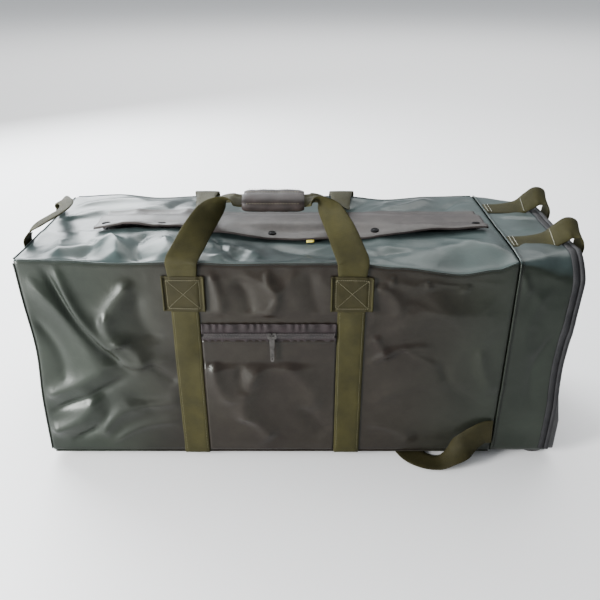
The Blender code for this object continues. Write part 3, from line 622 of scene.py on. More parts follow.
def make_materials():
    """Every look by its short name, each from its lighter and its darker colour."""
    plain = ((0.016, 0.013, 0.010), (0.009, 0.006, 0.005))
    ends = ((0.016, 0.020, 0.015), (0.006, 0.008, 0.006))
    # top: paler teal colour painted on the upward top faces as their light and sheen.
    top = ((0.046, 0.064, 0.062), (0.018, 0.026, 0.026))
    return {
        "cloth": body_cloth("coated_cloth", plain, ends, top),
        "flap": coated_cloth("storm_flap", (0.050, 0.041, 0.039), (0.018, 0.015, 0.015), (0.34, 0.50)),
        "webbing": webbing("olive_webbing", (0.034, 0.031, 0.009), (0.013, 0.012, 0.004)),
        # patch: a darker copy of the olive webbing, used on the patches and on the bottom strap, where its
        # darkness is painted shade from the bag above.
        "patch": webbing("olive_patch_and_shaded_strap", (0.024, 0.021, 0.007), (0.010, 0.009, 0.003)),
        "grip": woven("brown_grip", (0.026, 0.018, 0.016), (0.008, 0.006, 0.005), 300.0, (0.42, 0.60)),
        "tape": woven("zip_tape", (0.018, 0.012, 0.013), (0.007, 0.005, 0.005), 420.0),
        "teeth": moulded("zip_teeth", (0.030, 0.024, 0.023), (0.010, 0.008, 0.008), (0.25, 0.40)),
        "metal": cast_metal("dark_metal", (0.060, 0.060, 0.062), (0.020, 0.020, 0.022), (0.25, 0.45)),
        "zip_metal": cast_metal("zip_metal", (0.110, 0.105, 0.100), (0.040, 0.038, 0.036), (0.22, 0.40)),
        "cap": moulded("press_stud_cap", (0.008, 0.008, 0.009), grey(0.003), (0.45, 0.60), shine=0.04),
        "plastic": moulded("black_plastic", (0.022, 0.022, 0.024), (0.010, 0.010, 0.011)),
        "binding": woven("black_binding", (0.012, 0.012, 0.013), (0.004, 0.004, 0.005), 380.0, (0.55, 0.75)),
        "board": moulded("stiffener_board", grey(0.090), grey(0.050), (0.5, 0.7)),
        "rubber": moulded("tyre_rubber", grey(0.026), grey(0.012), (0.6, 0.85), 500.0),
        "hub": moulded("grey_nylon", grey(0.240), grey(0.150), (0.4, 0.6)),
        "steel": cast_metal("steel", grey(0.620), grey(0.420), (0.20, 0.38)),
        "tab": woven("yellow_tab", (0.800, 0.720, 0.160), (0.600, 0.480, 0.060), 400.0),
        "thread": woven("sewing_thread", (0.200, 0.190, 0.120), (0.110, 0.100, 0.060), 900.0),
        "pale_thread": woven("pale_thread", (0.600, 0.600, 0.520), (0.400, 0.400, 0.340), 900.0),
        "dark_thread": woven("dark_thread", (0.030, 0.032, 0.030), (0.014, 0.015, 0.014), 900.0),
    }


# ---- cloth body


def rounded_box(low, high, radius):
    """Surface lattice of a box with rounded edges, and its faces."""
    axes = [spread(low[k], high[k]) for k in range(3)]
    counts = [len(axis) for axis in axes]
    index, points = {}, []

    def vertex(i, j, k):
        key = (i, j, k)
        if key not in index:
            index[key] = len(points)
            points.append((axes[0][i], axes[1][j], axes[2][k]))
        return index[key]

    faces = []
    for axis in range(3):
        one, two = [k for k in range(3) if k != axis]
        for end in (0, counts[axis] - 1):
            for a in range(counts[one] - 1):
                for b in range(counts[two] - 1):
                    quad = []
                    for da, db in ((0, 0), (1, 0), (1, 1), (0, 1)):
                        place = [0, 0, 0]
                        place[axis], place[one], place[two] = end, a + da, b + db
                        quad.append(vertex(*place))
                    forward = (end > 0) != (axis == 1)
                    faces.append(tuple(quad if forward else quad[::-1]))
    points = np.array(points)
    inner = np.clip(points, np.array(low) + radius, np.array(high) - radius)
    return inner + unit(points - inner) * radius, faces


def build_main_body():
    """The long compartment, one skin with soft edges, its zip mouth cut out of the top."""

    def in_mouth(x, y, z):
        across = (np.abs(y) < 0.0125) & (z > TOP - 0.004)
        return across & (x > ZIP_X[0] + 0.002) & (x < ZIP_X[1] - 0.002)

    points, faces = rounded_box((LEFT, FRONT, BASE), (SEAM + 0.002, REAR, TOP), EDGE_ROUND)
    body = make_mesh("cloth_body", settle(points), faces_outside(points, faces, in_mouth))
    sides = ("front_panel", "rear_panel", "left_end_panel")
    level = ("top_front_panel", "top_rear_panel", "base_panel")
    dressed(body, "cloth", nodes=sides + level)


MIDDLE = np.array([0.0, (TOP + BASE) / 2])  # middle of the bag's cross-section, as (y, z)


def end_profile(x, count):
    """Outline of the end section across the bag at x, as (y, z): its top corners get rounder outwards."""
    share = smooth_step((x - SEAM) / (RIGHT - SEAM) * 1.15)
    high, low = 0.009 + 0.033 * float(share), 0.008
    corners = (
        (REAR - low, BASE + low, low, -90), (REAR - high, TOP - high, high, 0),
        (FRONT + high, TOP - high, high, 90), (FRONT + low, BASE + low, low, 180),
    )
    outline = []
    for y, z, radius, start in corners:
        for step in range(9):
            angle = math.radians(start + 90 * step / 8)
            outline.append((y + radius * math.cos(angle), z + radius * math.sin(angle)))
    outline = np.array(outline + outline[:1])
    run = run_along(outline)
    at = np.linspace(0, run[-1], count, endpoint=False)
    return np.stack([np.interp(at, run, outline[:, k]) for k in (0, 1)], axis=1)


def build_end_section():
    """The wheeled end: a soft ring from the seam, closed by its flat panel, with its wheel wells cut out."""
    count = 260
    rings = [np.column_stack([np.full(count, x), end_profile(x, count)]) for x in spread(SEAM, SECTION_END)]
    outline = end_profile(SECTION_END, count)
    for share in np.linspace(0.985, 0.0, 40):
        rings.append(np.column_stack([np.full(count, SECTION_END), MIDDLE + (outline - MIDDLE) * share]))
    low, high = (np.array(corner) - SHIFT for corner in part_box("front_wheel_housing"))
    rim = 0.002

    def in_well(x, y, z):
        across = (np.abs(y) > -high[1] + rim) & (np.abs(y) < min(-low[1] - rim, REAR - 0.006))
        return across & (x > low[0] + rim) & (z < high[2] - rim)

    points = np.concatenate(rings)
    faces = faces_outside(points, grid_faces(len(rings), count, wrap=True), in_well)
    section = sharpened(make_mesh("end_section_cloth", settle(points), faces), 50)
    dressed(section, "cloth", nodes=("end_section", "right_end_panel"))


def inverted_u(x, out, floor):
    """The outline across the bag at x, open at the bottom, grown outwards."""
    outline = end_profile(x, 400)
    outline = outline + unit(outline - MIDDLE) * out
    line = outline[outline[:, 1] > BASE + floor]
    gaps = np.linalg.norm(np.diff(line, axis=0), axis=1)
    turn = int(np.argmax(gaps)) + 1
    if turn < len(line) - 1 and gaps[turn - 1] > 0.05:
        line = np.roll(line, -turn, axis=0)
    return settle(np.column_stack([np.full(len(line), x), line]))


def build_seams():
    """The welt before the wheeled end, the thick black binding round it, and their stitching."""
    welt = inverted_u(SEAM + 0.001, 0.0012, 0.008)
    dressed(tube("seam_piping", welt, 0.0016), "cloth", nodes=("seam_welt",))
    lines = [inverted_u(SEAM + aside, 0.0008, 0.008) for aside in (0.0055, -0.0045)]
    dressed(stitches("seam_stitches", lines), "dark_thread")
    cord = tube("end_binding_cord", inverted_u(SECTION_END + 0.0005, 0.0005, 0.006), 0.0045, 12)
    dressed(cord, "binding", nodes=("end_piping",))
    lips = ((0.0135, 0.0002), (0.0125, 0.0016), (0.002, 0.0020))
    rows = [inverted_u(SECTION_END - inset, out, 0.006) for inset, out in lips]
    least = min(len(row) for row in rows)
    rows = [row[np.linspace(0, len(row) - 1, least).astype(int)] for row in rows]
    band = make_mesh("end_binding_tape", np.concatenate(rows), grid_faces(len(rows), least))
    dressed(solidify(band, 0.0008), "binding")
    ring = inverted_u(SECTION_END - 0.0105, 0.0026, 0.006)
    dressed(stitches("binding_stitches", [ring]), "dark_thread")


def build_edge_piping():
    """Piping on the long edges and round the plain end, and the stitches beside the long edges."""
    inset = EDGE_ROUND * 0.29 - 0.0008
    x = spread(LEFT + EDGE_ROUND, SEAM - 0.004, 0.003)
    y = spread(FRONT + EDGE_ROUND, REAR - EDGE_ROUND, 0.003)
    z = spread(BASE + EDGE_ROUND, TOP - EDGE_ROUND, 0.003)
    sides = {"front": (FRONT + inset, FRONT - 0.0003), "rear": (REAR - inset, REAR + 0.0003)}
    levels = {"top": (TOP - inset, -0.0075), "base": (BASE + inset, 0.0075)}

    def piping(name, line):
        dressed(tube(name + "_piping", settle(line), 0.0014), "cloth")

    for level, (edge_z, aside) in levels.items():
        for side, (edge_y, out) in sides.items():
            piping(f"{side}_{level}", line_of(x, edge_y, edge_z))
            row = settle(line_of(x, out, edge_z + aside))
            dressed(stitches(f"{side}_{level}_stitches", [row]), "dark_thread")
    for side, (edge_y, _) in sides.items():
        piping(f"left_{side}", line_of(LEFT + inset, edge_y, z))
    for level, (edge_z, _) in levels.items():
        piping(f"left_{level}", line_of(LEFT + inset, y, edge_z))


# ---- straps, patches and handles

WEB, LOAD_WEB = 0.050, 0.045


def build_load_straps():
    """The two straps that run down the front, under the bag and up the rear, stitched along their edges."""
    off = 0.0018
    heights = (TOP - 0.026, 0.34, 0.30, 0.25, 0.20, 0.15, 0.10, 0.06, 0.035, BASE + 0.008)
    half = [(FRONT - off, z) for z in heights]
    half += [(FRONT + 0.002, BASE - off + 0.0005), (FRONT + 0.03, BASE - off), (FRONT + 0.10, BASE - off)]
    run = half + [(-y, z) for y, z in reversed(half)]
    z = spread(BASE + 0.008, TOP - 0.085, 0.004)
    for side, x in STRAP_X.items():
        stations = [((x, y, z_at), (1, 0, 0), LOAD_WEB) for y, z_at in run]
        strap = ribbon(f"load_strap_{side}_webbing", stations, 6, settled=True)
        dressed(strap, "webbing", nodes=(f"load_strap_{side}",))
        rows = [
            settle(line_of(x + edge * (LOAD_WEB / 2 - 0.004), face, z))
            for face in (FRONT - off - 0.0011, REAR + off + 0.0011) for edge in (-1, 1)
        ]
        dressed(stitches(f"load_strap_{side}_stitches", rows), "thread")


PATCH_WIDTH, PATCH_HEIGHT, PATCH_TOP = 0.068, 0.062, TOP - 0.022
PATCH_LOW = PATCH_TOP - PATCH_HEIGHT


def patch_height(u, z):
    """How far a patch stands off its cloth: raised rims, raised over its strap, pulled in at its rows."""
    rim = 0.0012 * smooth_step((abs(u) - PATCH_WIDTH / 2 + 0.006) / 0.003)
    over_web = 0.0014 * (1 - smooth_step((abs(u) - LOAD_WEB / 2) / 0.004))
    to_row = min(abs(z - PATCH_TOP + 0.006), abs(z - PATCH_LOW - 0.006))
    return 0.0030 + rim + over_web - 0.0008 * math.exp(-((to_row / 0.002) ** 2))


def patch_seams(x, y):
    """The box and cross sewn through a patch."""
    wide, high = PATCH_WIDTH / 2 - 0.008, PATCH_HEIGHT / 2 - 0.006
    corners = [(-wide, -high), (wide, -high), (wide, high), (-wide, high)]
    lines = []
    for path in (corners + corners[:1], corners[::2], corners[1::2]):
        spans = [np.linspace(a, b, 12, endpoint=False) for a, b in zip(path, path[1:])]
        u, v = np.concatenate(spans + [[path[-1]]]).T
        lines.append(settle(line_of(x + u, y, PATCH_TOP - PATCH_HEIGHT / 2 + v)))
    return lines


def build_patch(name, x, face, outwards):
    """A box-stitched square with thick turned-in side edges."""
    columns, rows = spread(-PATCH_WIDTH / 2, PATCH_WIDTH / 2, 0.002), spread(PATCH_LOW, PATCH_TOP, 0.002)
    uvs = [(u, z) for z in rows for u in columns]
    points = settle([(x + u, face + outwards * patch_height(u, z), z) for u, z in uvs])
    faces = grid_faces(len(rows), len(columns))
    patch = make_mesh(name + "_cloth", points, flipped(faces) if outwards > 0 else faces, uvs)
    dressed(solidify(patch, 0.0020, -1.0), "patch", nodes=(name,))
    sewn = stitches(name + "_stitches", patch_seams(x, face + outwards * 0.0050), 0.003, 0.0022, 0.0005)
    dressed(sewn, "thread")
    z = spread(PATCH_LOW + 0.002, PATCH_TOP - 0.002, 0.003)
    for letter, edge in (("a", -1), ("b", 1)):
        line = line_of(x + edge * (PATCH_WIDTH / 2 - 0.0015), face + outwards * 0.0042, z)
        dressed(tube(f"{name}_edge_{letter}", settle(line), 0.0017), "webbing")


def build_patches():
    for side, x in STRAP_X.items():
        build_patch(f"front_{side}_patch", x, FRONT, -1)
        build_patch(f"rear_{side}_patch", x, REAR, 1)


def handle_stations(leg, grip_axis, root):
    """Both legs of a carry handle from root points on the bag, through the leg's stations, to its grip."""
    outwards = -1 if leg[0][1] < 0 else 1
    runs = []
    for side, sign in (("left", 1), ("right", -1)):
        start, stop = STRAP_X[side], GRIP_MID - sign * GRIP_LENGTH / 2
        run = []
        for lift, z, width in root:
            on_cloth = settle([[start, outwards * REAR, z]])[0]
            run.append(((start, on_cloth[1] + outwards * lift, z), (1, 0, 0), width))
        for share, y, z, (ax, ay, az), width in leg:
            run.append(((start + (stop - start) * share, y, z), (ax, ay * sign, az * sign), width))
        runs.append(run)
    across, width = leg[-1][3:]
    middle = ((GRIP_MID, *grip_axis), (0, across[1], across[2]), width)
    back = [(centre, tuple(-c for c in across), width) for centre, across, width in runs[1][::-1]]
    return runs[0] + [middle] + back


LEAN = math.radians(20)
FLAT = (0, math.cos(LEAN), math.sin(LEAN))
FRONT_AXIS, REAR_AXIS = (-0.090, 0.462), (-0.052, 0.455)
FRONT_LEG = (
    (0.00, FRONT - HINGE_OUT, TOP + 0.0015, (1, 0, 0), WEB),
    (0.06, FRONT + 0.004, TOP + 0.013, (1, 0, -0.1), WEB * 0.98),
    (0.14, FRONT + 0.020, TOP + 0.024, (1, 0.05, -0.2), WEB * 0.96),
    (0.26, FRONT + 0.040, TOP + 0.040, (1, 0.2, -0.4), WEB * 0.92),
    (0.45, FRONT + 0.060, TOP + 0.060, (1, 0.4, -0.7), WEB * 0.86),
    (0.72, FRONT_AXIS[0] - 0.005, FRONT_AXIS[1] + 0.004, (0.5, 0.8, -0.3), WEB * 0.72),
    (0.97, *FRONT_AXIS, FLAT, 0.024),
)
REAR_LEG = (
    (0.00, REAR + HINGE_OUT, TOP + 0.0015, (1, 0, 0), WEB),
    (0.02, REAR - 0.006, TOP + 0.010, (1, 0, 0), WEB * 0.92),
    (0.06, REAR - 0.050, TOP + 0.016, (1, 0, 0.1), WEB * 0.80),
    (0.10, REAR - 0.100, TOP + 0.020, (1, 0, 0.3), WEB * 0.72),
    (0.16, REAR - 0.150, TOP + 0.030, (1, 0.2, 0.4), WEB * 0.72),
    (0.40, REAR - 0.188, TOP + 0.052, (0.8, 0.6, 0.3), WEB * 0.72),
    (0.75, REAR_AXIS[0] + 0.002, REAR_AXIS[1] + 0.001, (0.2, 0.9, 0.2), WEB * 0.60),
    (0.97, *REAR_AXIS, FLAT, 0.024),
)


def leaned(axis, y, z):
    """A grip's own (y, z), which lean forwards with it, as y and z on the bag."""
    c, s = math.cos(LEAN), math.sin(LEAN)
    return axis[0] + y * c - z * s, axis[1] + y * s + z * c


def build_grip(name, axis, body, node):
    """A stuffed sleeve with rounded-off corners, a little pinched at its ends."""
    count, sides = 40, 36
    points, uvs = [], []
    for i in range(count):
        t = i / (count - 1)
        x = GRIP_MID + (t - 0.5) * GRIP_LENGTH
        end = min(t, 1 - t) * GRIP_LENGTH
        swell = 1 - 0.22 * math.exp(-end / 0.005) + 0.03 * noise.noise(Vector((x * 60, 3, 1)))
        for j in range(sides):
            angle = 2 * math.pi * j / sides
            c, s = math.cos(angle), math.sin(angle)
            y = math.copysign(abs(c) ** 0.72, c) * 0.0175 * swell
            z = math.copysign(abs(s) ** 0.80, s) * 0.0118 * swell
            crease = 1 + 0.028 * noise.noise(Vector((x * 90, y * 140, z * 140)))
            points.append((x, *leaned(axis, y * crease, z * crease)))
            uvs.append((x, angle * 0.015))
    faces = flipped(grid_faces(count, sides, wrap=True))
    for ring in (0, count - 1):
        base, centre = ring * sides, len(points)
        points.append(tuple(np.mean(points[base:base + sides], axis=0)))
        uvs.append((0, 0))
        fan = [(base + j, base + (j + 1) % sides, centre) for j in range(sides)]
        faces += fan if ring == 0 else flipped(fan)
    grip = sharpened(make_mesh(name + "_sleeve", np.array(points), faces, uvs), 60)
    dressed(grip, "grip", body, (node,))
    reach = GRIP_LENGTH / 2 - 0.005
    x = spread(GRIP_MID - reach, GRIP_MID + reach, 0.004)
    sewn = (leaned(axis, y, 0.0075) for y in (-0.0150, 0.0150))
    rows = [line_of(x, y, z + 0.0012) for y, z in sewn]
    dressed(stitches(name + "_sleeve_stitches", rows, 0.0045, 0.003, 0.0005), "thread", body)


def build_carry_handles():
    root = (
        (0.0016, TOP - 0.036, LOAD_WEB), (0.0020, TOP - 0.027, LOAD_WEB), (0.0034, TOP - 0.012, WEB * 0.96),
    )
    for name, y, leg, axis in (("front", FRONT, FRONT_LEG, FRONT_AXIS), ("rear", REAR, REAR_LEG, REAR_AXIS)):
        stations = handle_stations(leg, axis, root)
        handle = ribbon(f"{name}_handle_strap", stations, 10, 0.0018, cup=0.0006)
        dressed(handle, "webbing", None, (f"{name}_handle_webbing",))
        start, end = shifted((0, y, TOP - 0.012)), shifted((0, y, TOP + 0.006))
        tuple(start)
        tuple(end)
        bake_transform(handle)
        build_grip(f"{name}_grip", axis, f"{name}_handle", f"{name}_handle_grip")


def build_left_handle():
    """The pull handle on the plain end: olive webbing sewn over two dark keepers."""
    reach, half, width = 0.040, KEEPER_Y, 0.034
    base = LEFT - HINGE_OUT
    side = [
        ((LEFT - 0.0032, -half, TOP - 0.045), (0, 1, 0), width),
        ((LEFT - 0.0034, -half, TOP - 0.020), (0, 1, 0), width),
        ((base, -half, TOP + 0.0015), (0, 1, 0), width),
        ((base + reach * 0.13, -half, TOP + 0.014), (0, 1, 0), width),
        ((base + reach * 0.42, -half * 0.76, TOP + 0.024), (-0.5, 0.8, -0.1), width * 0.86),
        ((base + reach * 0.85, -half * 0.38, TOP + 0.030), (-0.9, 0.3, -0.2), width * 0.76),
    ]
    apex = ((base + reach, 0, TOP + 0.031), (-1, 0, -0.3), width * 0.76)
    mirrored = [((x, -y, z), (a, -b, c), w) for (x, y, z), (a, b, c), w in reversed(side)]
    handle = ribbon("left_handle_strap", side + [apex] + mirrored, 8, 0.0022, cup=0.001)
    dressed(handle, "webbing", None, ("left_handle_webbing",))
    start, end = shifted((LEFT, 0, TOP - 0.012)), shifted((LEFT, 0, TOP + 0.006))
    tuple(start)
    tuple(end)
    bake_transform(handle)


END_STRAP_RUN = (  # x past the seam, height over the top, tilt towards the front
    (0.003, 0.0018, 0.05), (0.035, 0.0020, 0.10), (0.065, 0.0050, 0.35), (0.083, 0.0170, 0.65),
    (0.098, 0.0270, 0.70), (0.113, 0.0220, 0.60), (0.119, 0.0040, 0.25), (0.117, -0.0170, 0.0),
    (0.111, -0.0400, 0.0), (0.106, -0.0700, 0.0), (0.1055, -0.1100, 0.0),
)
END_STRAP_BARS = ((0.072, 0.0115, 0.42), (0.006, 0.0042, 0.05), (0.012, 0.0044, 0.06))


def build_end_straps():
    """The loops at the wheeled end, with bars of pale stitches across them."""
    across = spread(-WEB * 0.38, WEB * 0.38, 0.003)
    for name, y in (("front", -0.087), ("rear", 0.079)):
        stations = [((SEAM + x, y, TOP + z), (0, 1, tilt), WEB * 0.86) for x, z, tilt in END_STRAP_RUN]
        strap = ribbon(f"end_strap_{name}_webbing", stations, 8, 0.0020, cup=0.0008)
        dressed(strap, "webbing", nodes=(f"end_strap_{name}",))
        rows = [line_of(SEAM + x, y + across, TOP + z + across * tilt) for x, z, tilt in END_STRAP_BARS]
        bars = stitches(f"end_strap_{name}_bar", rows, 0.003, 0.0024, 0.0006)
        dressed(bars, "pale_thread")


def build_bottom_strap():
    stations = (
        ((SEAM - 0.004, FRONT - 0.0060, 0.0640), (0.05, 0.00, 1.00), 0.050),
        ((SEAM - 0.022, FRONT - 0.0080, 0.0620), (0.15, 0.03, 1.00), 0.050),
        ((SEAM - 0.045, FRONT - 0.0130, 0.0480), (0.30, 0.25, 0.92), 0.046),
        ((SEAM - 0.068, FRONT - 0.0205, 0.0280), (0.35, 0.65, 0.68), 0.042),
        ((SEAM - 0.092, FRONT - 0.0215, 0.0085), (0.10, 0.97, 0.10), 0.038),
        ((SEAM - 0.118, FRONT - 0.0140, 0.0040), (0.50, 0.85, 0.00), 0.042),
        ((SEAM - 0.140, FRONT + 0.0080, 0.0030), (0.87, 0.49, 0.00), 0.048),
        ((SEAM - 0.154, FRONT + 0.0500, 0.0030), (0.98, 0.18, 0.00), 0.050),
        ((SEAM - 0.158, FRONT + 0.0950, 0.0045), (1.00, 0.03, 0.00), 0.050),
        ((SEAM - 0.159, FRONT + 0.1400, 0.0095), (1.00, 0.00, 0.00), 0.050),
        ((SEAM - 0.159, FRONT + 0.1800, 0.0122), (1.00, 0.00, 0.00), 0.050),
    )
    strap = ribbon("bottom_strap_webbing", stations, 10, 0.0018)
    # The darker olive gives this strap painted shade where it lies under the bag's front.
    dressed(strap, "patch", nodes=("bottom_strap",))


# ---- storm flap and studs

FLAP_EDGE_SHIFT = (
    (-0.360, 0.001), (-0.200, 0.000), (-0.140, -0.003), (-0.045, -0.012), (0.005, -0.016), (0.090, -0.013),
    (0.150, -0.006), (0.250, 0.000), (0.330, 0.001),
)
FLAP_LIFT = (
    (-0.360, 0.001), (-0.300, 0.004), (-0.230, 0.001), (-0.120, 0.002), (-0.040, 0.000), (0.060, 0.001),
    (0.129, 0.000), (0.170, 0.003), (0.225, 0.006), (0.275, 0.003), (0.330, 0.002),
)
FLAP_UNDER = (
    (0.056, 0.0006), (0.048, 0.0007), (0.040, 0.0016), (0.030, 0.0045), (0.018, 0.0084), (0.006, 0.0096),
    (-0.008, 0.0090), (-0.020, 0.0072), (-0.032, 0.0060), (-0.041, 0.0052), (-0.048, 0.0034),
)


def flap_point(x, share, lift=0.0):
    """Points on the flap's underside, or lift above it: x along it, share from its sewn to its free edge."""
    x = np.atleast_1d(np.asarray(x, dtype=float))
    y, height = eased(FLAP_UNDER, np.full(len(x), share * (len(FLAP_UNDER) - 1))).T
    free = smooth_step((0.010 - y) / 0.045)
    y = y + curve_through(x, FLAP_EDGE_SHIFT) * free
    points = line_of(x, y, TOP)
    settled = settle(points)
    ripple = 0.0012 * noise_at(points, 24.0, 4.4) + 0.0020 * noise_at(points, 9.0, 1.7)
    wave = curve_through(x, FLAP_LIFT) * free + ripple * smooth_step((0.040 - y) / 0.03)
    over_zip = np.maximum(settled[:, 2], TOP - 0.0005 - 0.02 * smooth_step((-0.012 - y) / 0.02))
    settled[:, 2] = over_zip + height + wave + lift
    return settled


# Shares of the way from the flap's sewn edge to its free edge
SEWN_ROW, STUD_ROW, HEM_ROW, HEM = 0.05, 0.80, 0.93, 0.985


def build_flap():
    """The storm flap with its hem and stitches, sewn down along its rear edge."""
    xs = spread(*FLAP_X, 0.004)
    shares = np.linspace(0, 1, 34)
    points = np.concatenate([flap_point(xs, share, 0.0016) for share in shares])
    flap = make_mesh("storm_flap_cloth", points, grid_faces(len(shares), len(xs)))
    dressed(solidify(flap, 0.0016, -1.0), "flap", None, ("storm_flap",))
    start, end = shifted((0, 0.052, TOP)), shifted((0, 0.038, TOP))
    tuple(start)
    tuple(end)
    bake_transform(flap)
    dressed(tube("storm_flap_hem", flap_point(xs, HEM, 0.0010), 0.0013), "flap", "flap")
    rows = [flap_point(xs, HEM_ROW, 0.0020)]
    for x in (FLAP_X[0] + 0.006, FLAP_X[1] - 0.006):
        down = [flap_point(x, share, 0.0020) for share in np.linspace(0.2, HEM_ROW, 20)]
        rows.append(np.concatenate(down))
    dressed(stitches("storm_flap_stitches", rows), "dark_thread", "flap")
    sewn = flap_point(xs, SEWN_ROW, 0.0020)
    dressed(stitches("storm_flap_root_stitches", [sewn]), "dark_thread")


def build_tab():
    """The small blank tab that peeps out from under the flap."""
    points = []
    for v in np.linspace(0, 1, 5):
        for x in np.linspace(*TAB_X, 5):
            points.append(flap_point(x, 1.0)[0] + (0, -0.0006 - 0.0062 * v, 0.0002 - 0.0018 * v * v))
    tab = make_mesh("flap_tab_cloth", np.array(points), flipped(grid_faces(5, 5)))
    dressed(solidify(tab, 0.0012, 0.0), "tab", "bag", ("flap_tab",))


def turned_mesh(name, profile, centre, normal, sides=28):
    """A solid of revolution about the normal through centre, from (radius, height) points."""
    normal = unit(np.asarray(normal, dtype=float))
    one = unit(np.cross(normal, (0.0, 1.0, 0.1)))
    two = np.cross(normal, one)
    points = []
    for radius, height in profile:
        for j in range(sides):
            angle = 2 * math.pi * j / sides
            points.append(centre + normal * height + radius * (one * math.cos(angle) + two * math.sin(angle)))
    return sharpened(make_mesh(name, np.array(points), capped_faces(len(profile), sides)), 45)


SNAP_CAP = (  # (radius, height)
    (0.0072, 0.0000), (0.0074, 0.0010), (0.0071, 0.0022), (0.0062, 0.0033), (0.0056, 0.0034),
    (0.0050, 0.0026), (0.0040, 0.0026), (0.0028, 0.0032), (0.0012, 0.0035), (0.0003, 0.0036),
)
SNAP_STUD = (
    (0.0055, 0.0000), (0.0055, 0.0008), (0.0030, 0.0012), (0.0016, 0.0014), (0.0019, 0.0026),
    (0.0015, 0.0032), (0.0003, 0.0033),
)


def build_snaps():
    """Press-stud caps square to the flap, and their studs on the cloth below."""
    for number, x in enumerate(STUD_X, 1):
        near = flap_point([x - 0.008, x, x + 0.008], STUD_ROW)
        ahead = flap_point(x, STUD_ROW + 0.08)[0]
        normal = np.cross(near[2] - near[0], near[1] - ahead)
        normal = normal * np.sign(normal[2])
        cap = turned_mesh(f"snap_cap_{number}_shell", SNAP_CAP, near[1] + unit(normal) * 0.0017, normal)
        dressed(cap, "cap", "flap", (f"snap_cap_{number}",))
        under = settle([[x, near[1][1], TOP]])[0]
        stud = turned_mesh(f"snap_stud_{number}_post", SNAP_STUD, under, (0, 0, 1))
        dressed(stud, "metal", "bag", (f"snap_stud_{number}",))


# ---- zips and pocket


TOOTH_PITCH = 0.0026
TOOTH_FACES = ((0, 1, 2, 3), (7, 6, 5, 4), (0, 4, 5, 1), (1, 5, 6, 2), (2, 6, 7, 3), (3, 7, 4, 0))


def tooth_row(name, start, end, side, place, nodes):
    """Moulded teeth along one side of a zip; place maps (along, across, out) to a point."""
    points, faces = [], []
    near, far, half = 0.0001, 0.0046, 0.0008
    for along in np.arange(start + TOOTH_PITCH, end - TOOTH_PITCH / 2, TOOTH_PITCH):
        base = len(points)
        along += 0.0013 * (side > 0)
        for out in (-0.0030, 0.0001):
            for u, v in ((-half, near), (half, near), (half, far), (-half, far)):
                points.append(place(along + u, side * v, out))
        quads = [tuple(base + k for k in quad) for quad in TOOTH_FACES]
        faces += quads if side > 0 else flipped(quads)
    teeth = make_mesh(name + "_teeth", np.array(points), faces)
    teeth.data.shade_flat()
    dressed(teeth, "teeth", "bag", nodes)


def build_tape(name, rows, flip, thickness):
    """One side of a zip's tape, lofted through rows of points."""
    faces = grid_faces(len(rows), len(rows[0]))
    tape = make_mesh(name + "_tape", np.concatenate(rows), flipped(faces) if flip else faces)
    dressed(solidify(tape, thickness, 0.0), "tape")


def build_main_zip():
    """The main zip along the top, under the flap."""

    def place(u, v, out):
        return (u, v, TOP + out)

    xs = spread(*ZIP_X, 0.006)
    low, high = TOP - 0.0015, TOP + 0.0003
    profile = ((0.0025, low), (0.0060, low), (0.0105, low), (0.0160, high), (0.0200, high))
    for name, side in (("main_zip_front", -1), ("main_zip_rear", 1)):
        tooth_row(name, *ZIP_X, side, place, (name,))
        build_tape(name, [line_of(xs, side * y, z) for y, z in profile], side > 0, 0.0008)


def build_pocket_zip():
    """The front pocket's zip band, puckered where it is sewn."""
    face = FRONT - 0.0070

    def place(u, v, out):
        return (u, face - out, POCKET_ZIP_Z + v)

    tooth_row("pocket_zip_lower", *POCKET_X, -1, place, ("pocket_zip_lower",))
    tooth_row("pocket_zip_upper", *POCKET_X, 1, place, ("pocket_zip_upper",))
    xs = spread(POCKET_X[0] - 0.001, POCKET_X[1] + 0.001, 0.002)
    ripples = 0.0010 * np.sin(xs * 420 + 2.0 * np.sin(xs * 90))
    bands = {
        "pocket_zip_lower": (-0.0024, -0.0070, -0.0110, -0.0125),
        "pocket_zip_upper": (0.0024, 0.0080, 0.0140, 0.0185, 0.0200),
    }
    for name, heights in bands.items():
        rows = []
        for v in heights:
            pucker = ripples * smooth_step((abs(v) - 0.006) / 0.008)
            inwards = 0.0016 + 0.0022 * smooth_step((abs(v) - 0.004) / 0.009) + pucker
            rows.append(line_of(xs, face + inwards, POCKET_ZIP_Z + v))
        build_tape(name, rows, name == "pocket_zip_lower", 0.0009)
        sewn = rows[-2] + (0, -0.0008, 0)
        dressed(stitches(name + "_stitches", [sewn]), "dark_thread")


def build_pocket():
    """The pocket's panel, flat just below its zip and settled with the front further down, and its hem."""
    columns = spread(POCKET_X[0] - 0.0012, POCKET_X[1] + 0.0012, 0.004)
    rows = spread(BASE + 0.006, POCKET_ZIP_Z - 0.0100, 0.004)
    out = FRONT - 0.0016 - 0.0010 * smooth_step((rows - POCKET_ZIP_Z + 0.020) / 0.004)
    points = np.array([(x, y, z) for y, z in zip(out, rows) for x in columns])
    calm = smooth_step((POCKET_ZIP_Z - 0.044 - points[:, 2]) / 0.025)[:, None]
    flat = points + (0, -0.0016, 0)
    cloth = settle(points) * calm + flat * (1 - calm)
    panel = make_mesh("pocket_cloth", cloth, grid_faces(len(rows), len(columns)))
    dressed(solidify(panel, 0.0012, -1.0), "cloth", nodes=("pocket_panel",))
    hem = line_of(spread(*POCKET_X, 0.004), FRONT - 0.0052, POCKET_ZIP_Z - 0.0155)
    dressed(stitches("pocket_hem_stitches", [hem]), "dark_thread")


# ---- carried-over CAD pieces


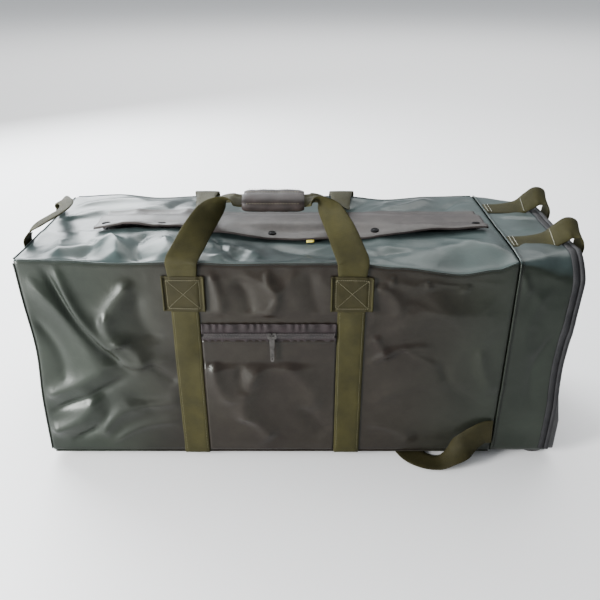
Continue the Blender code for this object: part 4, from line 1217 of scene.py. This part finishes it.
def paint_cad():
    looks = {
        "zip_metal": ("main_zip_slider", "main_zip_pull", "pocket_zip_slider", "pocket_zip_pull"),
        "plastic": ("front_wheel_housing", "rear_wheel_housing", "front_foot", "rear_foot"),
        "binding": ("left_handle_front_patch", "left_handle_rear_patch"),
        "rubber": ("front_wheel_tyre", "rear_wheel_tyre"),
        "hub": ("front_wheel_hub", "rear_wheel_hub"),
        "steel": ("front_wheel_bush", "rear_wheel_bush", "front_axle", "rear_axle"),
        "board": ("base_board",),
    }
    for look, names in looks.items():
        for name in names:
            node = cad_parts[name]
            node.data.materials.clear()
            node.data.materials.append(MATERIALS[look])


# ---- floor, light and camera

CAMERA_AT = (0.0, FRONT - 0.9377, TOP + 0.4134)
CAMERA_DOWN = 27.1
CAMERA_LENS = 39.42


def build_camera():
    data = bpy.data.cameras.new("camera")
    data.lens, data.sensor_width = CAMERA_LENS, 36.0
    camera = bpy.data.objects.new("camera", data)
    camera.location = shifted(CAMERA_AT)
    camera.rotation_euler = (math.radians(90 - CAMERA_DOWN), 0, 0)
    bpy.context.scene.collection.objects.link(camera)
    bpy.context.scene.camera = camera


def area_light(name, at, aim, size, power, colour=(1, 1, 1)):
    data = bpy.data.lights.new(name, "AREA")
    data.shape, data.size, data.size_y = "RECTANGLE", size[0], size[1]
    data.energy, data.color = power, colour
    light = bpy.data.objects.new(name, data)
    light.location = at
    light.rotation_euler = (Vector(aim) - Vector(at)).to_track_quat("-Z", "Y").to_euler()
    bpy.context.scene.collection.objects.link(light)


def build_stage():
    bpy.ops.mesh.primitive_plane_add(size=60, location=(0, 10.0, 0))
    floor = bpy.context.object
    floor.name = "floor"
    n = Nodes("pale_floor")
    floor.data.materials.append(n.done((0.86, 0.86, 0.86), 0.7))
    floor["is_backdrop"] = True
    world = bpy.data.worlds.new("studio")
    bpy.context.scene.world = world
    world.use_nodes = True
    background = world.node_tree.nodes["Background"]
    background.inputs["Color"].default_value = (0.92, 0.96, 1.0, 1.0)
    background.inputs["Strength"].default_value = 0.62
    area_light("window", (-1.6, 1.9, 1.5), (0.0, 0.0, 0.3), (2.2, 1.6), 170, (0.93, 0.97, 1.0))
    area_light("ceiling", (0.3, 0.9, 2.6), (0.0, 0.2, 0.2), (2.2, 2.0), 60)
    area_light("backdrop", (0.0, 5.0, 4.5), (0.0, 6.0, 0.0), (8.0, 4.0), 420)
    area_light("front_fill", (-2.0, -1.3, 0.7), (-0.2, 0.0, 0.2), (0.6, 1.2), 210)


MATERIALS = make_materials()
build_camera()
build_stage()
build_main_body()
build_end_section()
build_seams()
build_edge_piping()
build_load_straps()
build_patches()
build_carry_handles()
build_left_handle()
build_end_straps()
build_bottom_strap()
build_flap()
build_tab()
build_snaps()
build_main_zip()
build_pocket_zip()
build_pocket()
paint_cad()

VISUAL_BOX = [list(corner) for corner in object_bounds()]
{"cad": [[float(v) for v in c] for c in CAD_BOX], "visual": [[float(v) for v in c] for c in VISUAL_BOX]}
